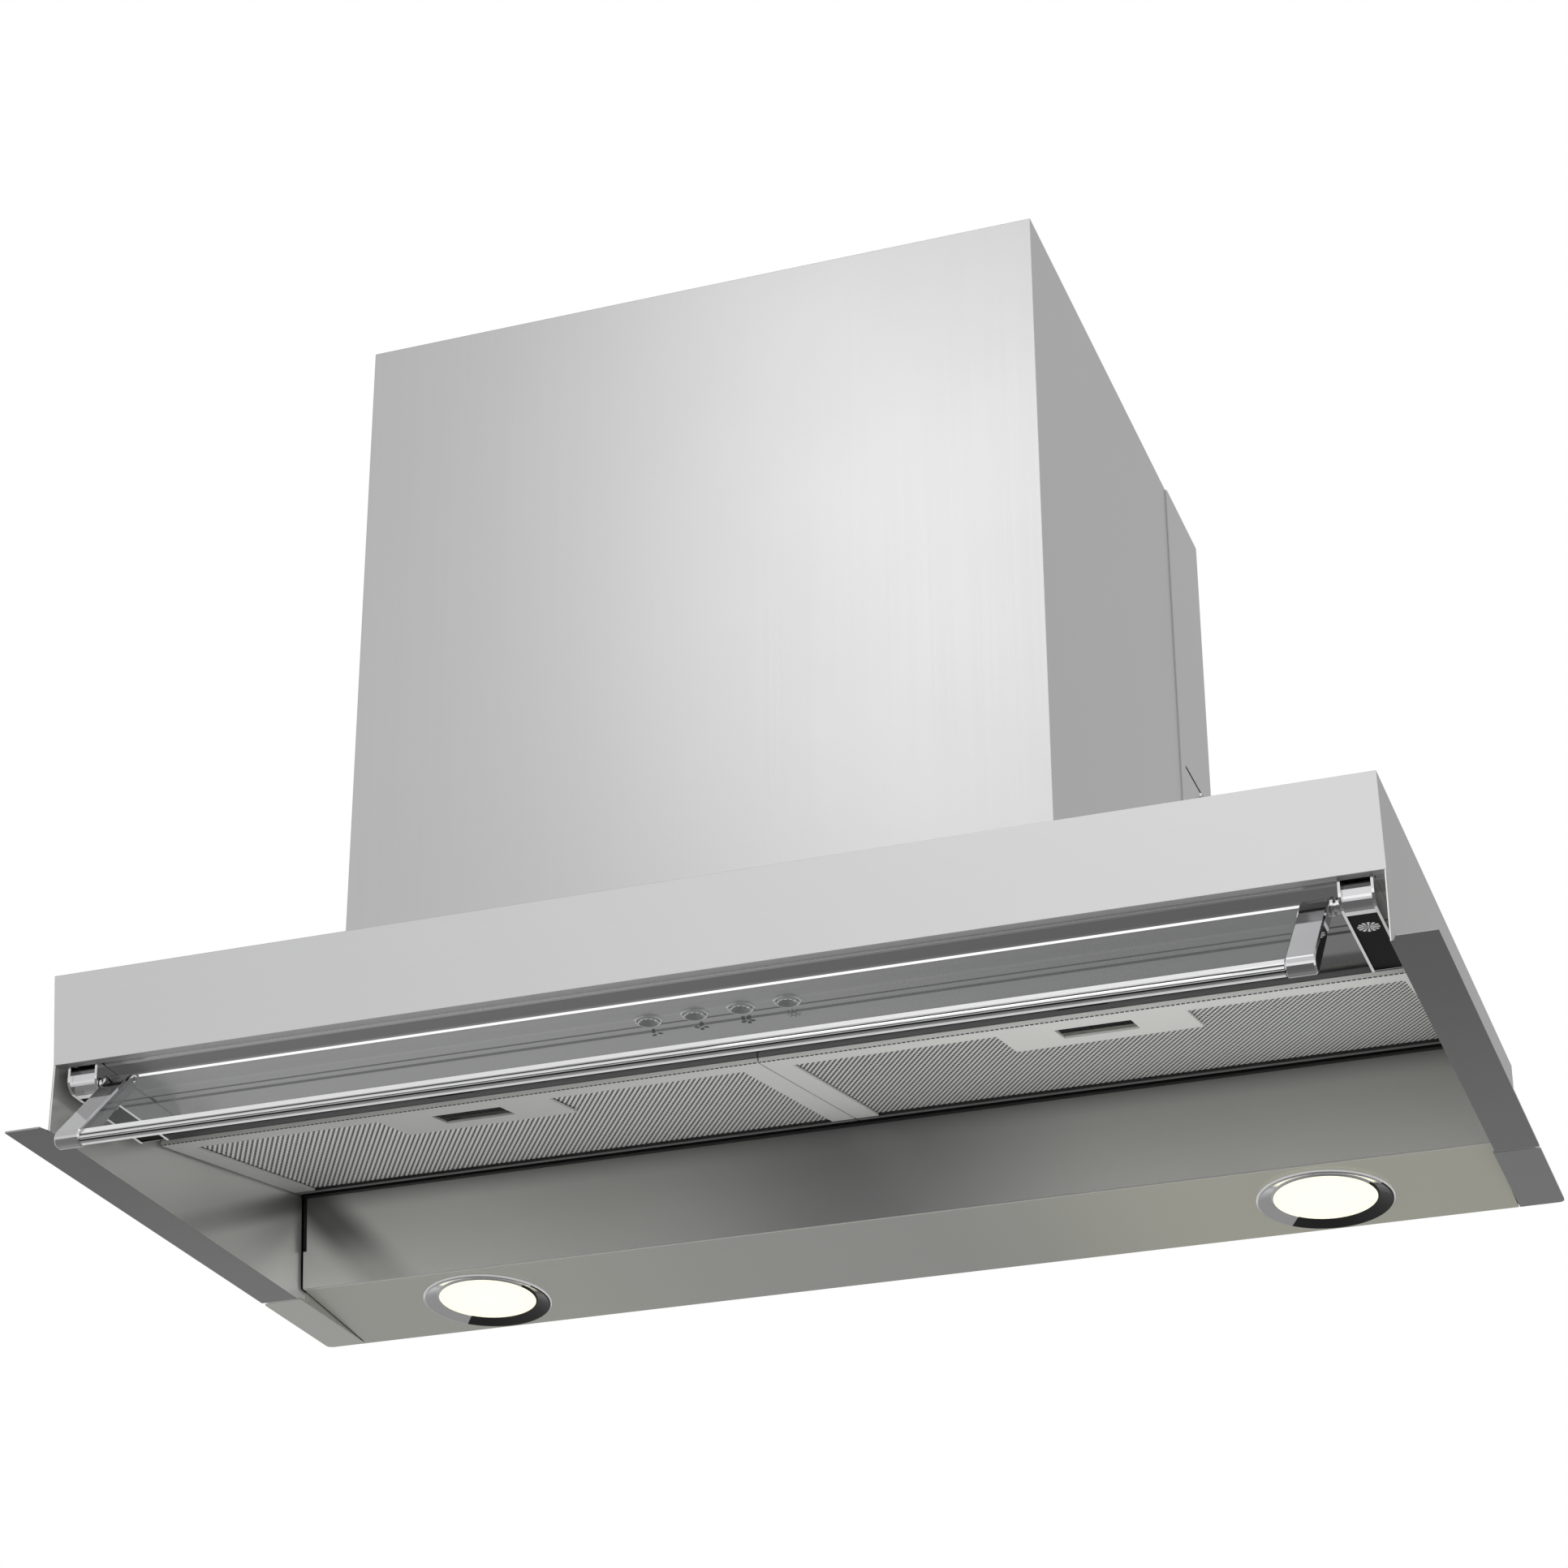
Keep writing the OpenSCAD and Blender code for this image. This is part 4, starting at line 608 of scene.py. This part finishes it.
finishes = {
    "stainless_fascia": brushed("stainless_fascia", (0.585, 0.585, 0.59), 0.30),
    "stainless_housing": brushed("stainless_housing", STAINLESS, 0.34, along=2),
    "stainless_canopy": brushed("stainless_canopy", (0.38, 0.38, 0.377), 0.32, metal=0.7,
                                mask=canopy_tone),
    "stainless_panel": brushed("stainless_panel", (0.64, 0.64, 0.64), 0.22, grain_depth=0.01,
                               mask=panel_tone, edge_r=0),
    "stainless_corner": brushed("stainless_corner", (0.40, 0.40, 0.40), 0.33, metal=0.85,
                                mask=corner_tone),
    "lit_panel": brushed("lit_panel", (0.60, 0.60, 0.57), 0.33, metal=0.75, mask=light_panel_tone),
    "baffle_steel": brushed("baffle_steel", (0.50, 0.50, 0.48), 0.33, metal=0.45, mask=baffle_tone),
    "chrome_trim": chrome("chrome_trim", (0.60, 0.60, 0.61), 0.05),
    "chrome_bracket": chrome("chrome_bracket", (0.70, 0.70, 0.71), 0.05, bright=bracket_edge_highlights),
    "chrome_pin": chrome("chrome_pin", (0.70, 0.70, 0.71), 0.05, edge_r=0),
    "chrome_rail": chrome("chrome_rail", (0.70, 0.70, 0.71), 0.06, edge_r=0, bright=rail_ridge_highlights,
                          dark=rail_flute_shade),
    "chrome_screw": chrome("chrome_screw", (0.20, 0.20, 0.20), 0.08, edge_r=0,
                           bright=screw_facet_highlights),
    "button_chrome": chrome("button_chrome", (0.80, 0.80, 0.81), 0.08, edge_r=0, bright=dish_glints,
                            dark=dish_dark_reflections),
    "ring_chrome": chrome("ring_chrome", (0.90, 0.90, 0.91), 0.10, edge_r=0),
    "filter_aluminium": brushed("filter_aluminium", (0.57, 0.57, 0.55), 0.42, metal=0.15,
                                mask=filter_tone, edge_r=0),
    "mesh_aluminium": brushed("mesh_aluminium", (0.90, 0.90, 0.88), 0.36, metal=0.3, mask=net_tone,
                              edge_r=0),
    # The filters' inner pack and the filter rail are painted near black: painted shade deep in the
    # filter and behind it
    "pack_shade": brushed("pack_shade", (0.05, 0.05, 0.05), 0.5, metal=0.3, edge_r=0),
    "rail_shade": brushed("rail_shade", (0.05, 0.05, 0.05), 0.33, metal=0.8, edge_r=0),
    "lamp_trim": chrome("lamp_trim", (0.92, 0.92, 0.93), 0.12, bright=trim_rim_highlights, dark=trim_dark_reflections),
    "zinc_steel": plated("zinc_steel", (0.55, 0.56, 0.57), 0.42),
    "screw_steel": chrome("screw_steel", (0.62, 0.62, 0.63), 0.22),
    "motor_steel": cast("motor_steel", (0.30, 0.30, 0.31), 0.45),
    "heat_sink": cast("heat_sink", (0.10, 0.10, 0.10), 0.5),
    "black_plastic": moulded("black_plastic", (0.012, 0.012, 0.012), 0.38),
    "cover_black": moulded("cover_black", (0.009, 0.009, 0.009), 0.5, gloss=0.12),
    "scroll_plastic": moulded("scroll_plastic", (0.03, 0.03, 0.031), 0.5),
    "impeller_plastic": moulded("impeller_plastic", (0.55, 0.55, 0.52), 0.5),
    "white_plastic": moulded("white_plastic", (0.72, 0.72, 0.68), 0.45),
    "board_green": moulded("board_green", (0.02, 0.12, 0.04), 0.35, 500, 0.05),
    "black_rubber": moulded("black_rubber", (0.015, 0.015, 0.015), 0.7),
    "symbol_print": moulded("symbol_print", (0.01, 0.01, 0.01), 0.6, 800, 0.03, gloss=0.05),
    "visor_glass": visor_tint("visor_glass"),
    "lamp_lens": lit_lens("lamp_lens"),
}

FINISH_OF = {
    "stainless_fascia": ["fascia"],
    "stainless_housing": ["motor_housing", "back_cover"],
    "stainless_canopy": ["canopy_shell", "housing_top"],
    "stainless_corner": ["corner_plates"],
    "stainless_panel": ["control_panel"],
    "lit_panel": ["light_panel"],
    "baffle_steel": ["baffle_wall"],
    "rail_shade": ["filter_rail"],
    "chrome_trim": ["visor_arm_left", "visor_arm_right"],
    "chrome_bracket": ["hinge_bracket_left", "hinge_bracket_right"],
    "chrome_pin": ["hinge_pins"],
    "chrome_rail": ["visor_rail"],
    "chrome_screw": ["bracket_screws"],
    "button_chrome": ["button_speed_low", "button_speed_mid", "button_speed_high", "button_lamp"],
    "ring_chrome": ["button_rings"],
    "filter_aluminium": ["filter_frame_left", "filter_frame_right"],
    "lamp_trim": ["lamp_trims"],
    "zinc_steel": ["blower_brackets", "motor_bracket", "capacitor_clip"],
    "screw_steel": ["housing_screws", "scroll_bolts", "motor_shaft", "motor_bearings", "motor_screws",
                    "damper_pin", "lamp_springs"],
    "motor_steel": ["fan_motor"],
    "heat_sink": ["lamp_bodies"],
    "black_plastic": ["outlet_collar", "push_switches", "switch_cover", "cable_gland"],
    "cover_black": ["bracket_covers", "filter_latch_left", "filter_latch_right"],
    "scroll_plastic": ["scroll_left", "scroll_right", "outlet_duct", "damper_flap_left",
                       "damper_flap_right"],
    "impeller_plastic": ["impeller"],
    "white_plastic": ["terminal_box", "terminal_box_lid", "lamp_driver", "capacitor"],
    "board_green": ["switch_board"],
    "black_rubber": ["motor_grommets"],
    "visor_glass": ["visor_glass"],
    "lamp_lens": ["lamp_lenses"],
}
for finish_name, node_names in FINISH_OF.items():
    for node_name in node_names:
        slots = nodes[node_name].data.materials
        slots.clear()
        slots.append(finishes[finish_name])


def piece(name, verts, faces, finish_name, body):
    """A new object of the scene: its mesh, its finish and the body that it rides on."""
    mesh = bpy.data.meshes.new(name)
    mesh.from_pydata(verts, [], faces)
    mesh.materials.append(finishes[finish_name])
    obj = bpy.data.objects.new(name, mesh)
    bpy.context.scene.collection.objects.link(obj)
    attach(obj, body)
    return obj


# Fine expanded mesh of the filters, in millimetres, in a filter's own measures

SIDES = {-1: "left", 1: "right"}
# The window that the mesh fills, and the latch plate that is cut out of it
MESH_X = (10.2, 268.2)
MESH_Y = (12.3, 131.2)
PLATE_X = (99.5, 178.5)
PLATE_Y_END = 43.6
MESH_PITCH = 2.48
MESH_SLOPE = math.radians(60.5)
STRAND_T = 0.09
# Width and tilt of the strands that lean to the left, -1, and to the right, 1
STRAND_W = {-1: 1.15, 1: 0.32}
STRAND_TILT = {-1: -0.03, 1: 0.0}
# Height of each layer above the filter's underside, and its shift in pitches
NET_LAYERS = [(1.4, 0.0), (7.5, 0.5)]
# The pack between the two fine layers has wider strands, painted near black as painted shade
PACK_LAYERS = [(2.6, 0.5), (4.4, 0.0), (6.2, 0.5)]
PACK_STRAND_W = {-1: 1.9, 1: 1.5}


def filter_matrix(side):
    """From a filter's own measures to the frame of the part."""
    tilt = Matrix.Rotation(FILTER_TILT, 4, "X")
    place = Matrix.Translation(FILTER_ORIGIN) @ tilt @ Matrix.Scale(MM, 4)
    return Matrix.Scale(-1, 4, (1, 0, 0)) @ place if side < 0 else place


def strand_spans(x_at_front, direction):
    """Stretches of one diagonal strand that lie in the window and clear of the latch plate."""
    run = direction/math.tan(MESH_SLOPE)
    shortest = STRAND_W[-1]

    def x_of(y):
        return x_at_front + (y - MESH_Y[0])*run

    def y_of(x):
        return MESH_Y[0] + (x - x_at_front)/run

    ends = sorted((y_of(MESH_X[0]), y_of(MESH_X[1])))
    low, high = max(MESH_Y[0], ends[0]), min(MESH_Y[1], ends[1])
    if high - low < shortest:
        return []
    plate = sorted((y_of(PLATE_X[0]), y_of(PLATE_X[1])))
    cut_low, cut_high = max(low, plate[0]), min(high, plate[1], PLATE_Y_END)
    spans = [(low, high)] if cut_high <= cut_low else [(low, cut_low), (cut_high, high)]
    return [((x_of(a), a), (x_of(b), b)) for a, b in spans if b - a > shortest]


def add_strand(verts, faces, start, end, height, width, tilt):
    """Adds one flat strand, a bar of four sides, tilted as the slit and stretched sheet leaves it."""
    along = Vector((end[0] - start[0], end[1] - start[1], 0)).normalized()
    side = Vector((-along.y, along.x, 0))*math.cos(tilt) + Vector((0, 0, math.sin(tilt)))
    rise = along.cross(side)
    base = len(verts)
    for point in (start, end):
        for a, b in ((-1, -1), (1, -1), (1, 1), (-1, 1)):
            verts.append(Vector((*point, height)) + side*(a*width/2) + rise*(b*STRAND_T/2))
    faces.extend([(base, base + 1, base + 2, base + 3), (base + 7, base + 6, base + 5, base + 4)])
    faces.extend((base + i, base + 4 + i, base + 4 + (i + 1) % 4, base + (i + 1) % 4) for i in range(4))


def woven_layers(name, side, body, layers, widths, finish_name):
    """Layers of diagonal strands. In each, one family of strands lies on the other."""
    verts, faces = [], []
    reach = (MESH_Y[1] - MESH_Y[0])/math.tan(MESH_SLOPE)
    count = int((MESH_X[1] - MESH_X[0] + reach)/MESH_PITCH) + 1
    for height, phase in layers:
        for direction in (-1, 1):
            family = direction*side
            lift = STRAND_T if family > 0 else 0
            x0 = MESH_X[0] - (reach if direction > 0 else 0)
            for i in range(count):
                x = x0 + (i + phase)*MESH_PITCH
                for start, end in strand_spans(x, direction):
                    add_strand(verts, faces, start, end, height + lift, widths[family],
                               STRAND_TILT[family])
    place = filter_matrix(side)
    verts = [place @ v for v in verts]
    if side < 0:
        faces = [face[::-1] for face in faces]
    return piece(name + "_" + SIDES[side], verts, faces, finish_name, body)


for side, side_name in SIDES.items():
    body = "filter_" + side_name
    net = woven_layers("filter_net", side, body, NET_LAYERS, STRAND_W, "mesh_aluminium")
    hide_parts("filter_mesh_" + side_name)
    woven_layers("filter_pack", side, body, PACK_LAYERS, PACK_STRAND_W, "pack_shade")


# Printed symbols behind the buttons, in millimetres: a fan with more blades for each speed, and a lamp

SYMBOL_X = {"speed_low": -32, "speed_mid": -12, "speed_high": 8, "lamp": 28}
SYMBOL_Y = -97.1
PANEL_UNDERSIDE_Z = -38.0
# The print reaches half its thickness into the panel
PRINT_T = 0.06
BLADES = {"speed_low": 3, "speed_mid": 4, "speed_high": 5}
BLADE_STEPS = 12
BLADE_ROOT = 0.12
BLADE_LEAD = 0.2
BLADE_SWEEP = 0.5
BLADE_SPREAD = 0.62
LAMP_RING = (1.05, 1.4)
LAMP_RING_PARTS = 20
LAMP_RAYS = 8
# Corners of a ray: their distance from the middle of the lamp, and their angle from the ray's own
LAMP_RAY = ((1.9, -0.08), (3.0, -0.05), (3.0, 0.05), (1.9, 0.08))


def flat_shape(outline):
    """A thin printed shape under the control panel, from its outline in millimetres."""
    count = len(outline)
    levels = (PANEL_UNDERSIDE_Z + PRINT_T/2, PANEL_UNDERSIDE_Z - PRINT_T)
    verts = [(x*MM, y*MM, z*MM) for z in levels for x, y in outline]
    faces = [tuple(range(count)), tuple(range(2*count - 1, count - 1, -1))]
    faces.extend((i, count + i, count + (i + 1) % count, (i + 1) % count) for i in range(count))
    return verts, faces


def around(cx, cy, points):
    """Places about a middle, from their distances and angles."""
    return [(cx + r*math.cos(a), cy + r*math.sin(a)) for r, a in points]


def blade_outline(cx, cy, angle, length):
    """One petal of a fan symbol, swept to one side and fuller on its leading edge."""
    leading = [(step, 1.0) for step in range(BLADE_STEPS + 1)]
    trailing = [(step, -0.5) for step in range(BLADE_STEPS - 1, 0, -1)]
    points = []
    for step, share in leading + trailing:
        t = step/BLADE_STEPS
        spread = math.sin(math.pi*t)*BLADE_SPREAD*share
        points.append((length*(BLADE_ROOT + (1 - BLADE_ROOT)*t),
                       angle - BLADE_LEAD + spread + BLADE_SWEEP*t))
    return around(cx, cy, points)


def fan_outlines(cx, cy, blades):
    """A fan symbol, a little larger with each blade."""
    return [blade_outline(cx, cy, i*math.tau/blades, 2.3 + 0.2*blades) for i in range(blades)]


def lamp_outlines(cx, cy):
    """A lamp symbol: a ring in short parts, with rays round it."""
    inner, outer = LAMP_RING
    turns = [i*math.tau/LAMP_RING_PARTS for i in range(LAMP_RING_PARTS + 1)]
    ring = [around(cx, cy, ((inner, a), (outer, a), (outer, b), (inner, b)))
            for a, b in zip(turns, turns[1:])]
    rays = [around(cx, cy, [(r, i*math.tau/LAMP_RAYS + w) for r, w in LAMP_RAY])
            for i in range(LAMP_RAYS)]
    return ring + rays


def print_symbol(name, outlines):
    """One piece of print from the outlines of its parts."""
    verts, faces = [], []
    for outline in outlines:
        shape_verts, shape_faces = flat_shape(outline)
        faces.extend(tuple(len(verts) + i for i in face) for face in shape_faces)
        verts.extend(shape_verts)
    piece(name, verts, faces, "symbol_print", "hood")


for label, blades in BLADES.items():
    print_symbol("symbol_" + label, fan_outlines(SYMBOL_X[label], SYMBOL_Y, blades))
print_symbol("symbol_lamp", lamp_outlines(SYMBOL_X["lamp"], SYMBOL_Y))


# Camera, fitted to the photograph

CAMERA_PLACE = Vector((0.4769, -1.3834, -0.6199))
CAMERA_AXIS = Vector((-0.30199, 0.85259, 0.42649)).normalized()
CAMERA_UP = Vector((0.14573, -0.40083, 0.90449)).normalized()
camera_data = bpy.data.cameras.new("camera")
camera_data.lens = 83.72
camera_data.sensor_width = 36
camera_data.shift_x = 0.0038
camera_data.shift_y = 0.0607
camera = bpy.data.objects.new("camera", camera_data)
right = CAMERA_AXIS.cross(CAMERA_UP).normalized()
turn = Matrix((right, right.cross(CAMERA_AXIS), -CAMERA_AXIS)).transposed()
camera.matrix_world = Matrix.Translation(CAMERA_PLACE) @ turn.to_4x4()
bpy.context.scene.collection.objects.link(camera)
bpy.context.scene.camera = camera


# Studio: a pale floor far below, a white background and soft lights

FLOOR_Z = -1.9
FLOOR_R = 3.4
FLOOR_CLEAR_R = 1.5
FLOOR_FADE_R = 3.3
# Levels of the room: for dull surfaces, and as it shows in gloss above and below, behind and in front
AMBIENT = 0.72
ABOVE_BACK = 0.66
ABOVE_FRONT = 0.70
BELOW_BACK = 0.28
BELOW_FRONT = 0.16


def make_floor():
    """A round floor that thins out to the white background, and doesn't show in gloss."""
    material, paint = new_paint("studio_floor")
    x, y, z = paint.parts(paint.place())
    glossy = Wire(paint, paint.add("ShaderNodeLightPath").outputs["Is Glossy Ray"])
    away = ((x*x + y*y)**0.5).ramp(FLOOR_CLEAR_R, FLOOR_FADE_R).at_least(glossy)
    grain = paint.noise(paint.place(), 40, 2)
    floor_shade = paint.add("ShaderNodeBsdfPrincipled", inputs={
        "Base Color": paint.mix(grain, grey(0.80), grey(0.84)), "Roughness": 0.9})
    clear = paint.add("ShaderNodeBsdfTransparent")
    blend = paint.add("ShaderNodeMixShader", inputs={0: away, 1: floor_shade, 2: clear})
    paint.add("ShaderNodeOutputMaterial", inputs={"Surface": blend})
    shape = bmesh.new()
    bmesh.ops.create_circle(shape, cap_ends=True, radius=FLOOR_R, segments=96)
    mesh = bpy.data.meshes.new("studio_floor")
    shape.to_mesh(mesh)
    shape.free()
    mesh.materials.append(material)
    floor = bpy.data.objects.new("studio_floor", mesh)
    floor.location.z = FLOOR_Z
    bpy.context.scene.collection.objects.link(floor)


def make_world():
    """White where the camera or a clear pane looks; a soft grey room in the metal's reflections."""
    world = bpy.data.worlds.new("studio")
    bpy.context.scene.world = world
    world.use_nodes = True
    paint = Paint(world.node_tree)
    rays = paint.add("ShaderNodeLightPath")
    seen = Wire(paint, rays.outputs["Is Camera Ray"])
    seen = (seen + Wire(paint, rays.outputs["Is Transmission Ray"])).at_most(1)
    glossy = Wire(paint, rays.outputs["Is Glossy Ray"])
    x, y, z = paint.parts(paint.add("ShaderNodeTexCoord", out="Generated"))
    front = (0 - y).ramp(-0.5, 0.4)
    bright_side = x.ramp(-0.55, -0.05)
    horizon = 1 - z.ramp(0.22, 0.5)
    above_front = ABOVE_FRONT + bright_side*0.22 + horizon*(0.18 + bright_side*0.22)
    above = ABOVE_BACK*(1 - front) + front*above_front
    below = BELOW_BACK*(1 - front) + front*BELOW_FRONT + (0 - x).ramp(0.1, 0.5)*0.1
    under = (0 - z).ramp(0.0, 0.35)
    reflected = above*(1 - under) + under*below
    lighting = glossy*reflected + (1 - glossy)*AMBIENT
    level = seen + (1 - seen)*lighting
    background = paint.add("ShaderNodeBackground", inputs={"Color": (1, 1, 1), "Strength": level})
    paint.add("ShaderNodeOutputWorld", inputs={"Surface": background})
    world.cycles.sampling_method = "NONE"


def soft_light(name, place, target, width, height, power):
    """A rectangular lamp that looks at a target, and that the camera doesn't see."""
    data = bpy.data.lights.new(name, "AREA")
    data.shape = "RECTANGLE"
    data.size = width
    data.size_y = height
    data.energy = power
    light = bpy.data.objects.new(name, data)
    light.location = place
    light.rotation_euler = (Vector(target) - Vector(place)).to_track_quat("-Z", "Y").to_euler()
    bpy.context.scene.collection.objects.link(light)
    light.visible_camera = False


make_floor()
make_world()
soft_light("key", (-0.168, -1.061, 0.683), (0.1058, -0.1448, 0.1291), 0.35, 0.5, 0.8)
soft_light("top", (0.2, 0.1, 2.0), (0, 0, 0), 1.6, 1.6, 6)
soft_light("left_fill", (-2.2, -0.9, 0.5), (0, 0, 0.0), 1.0, 1.4, 3)

bpy.context.scene.view_settings.view_transform = "Standard"
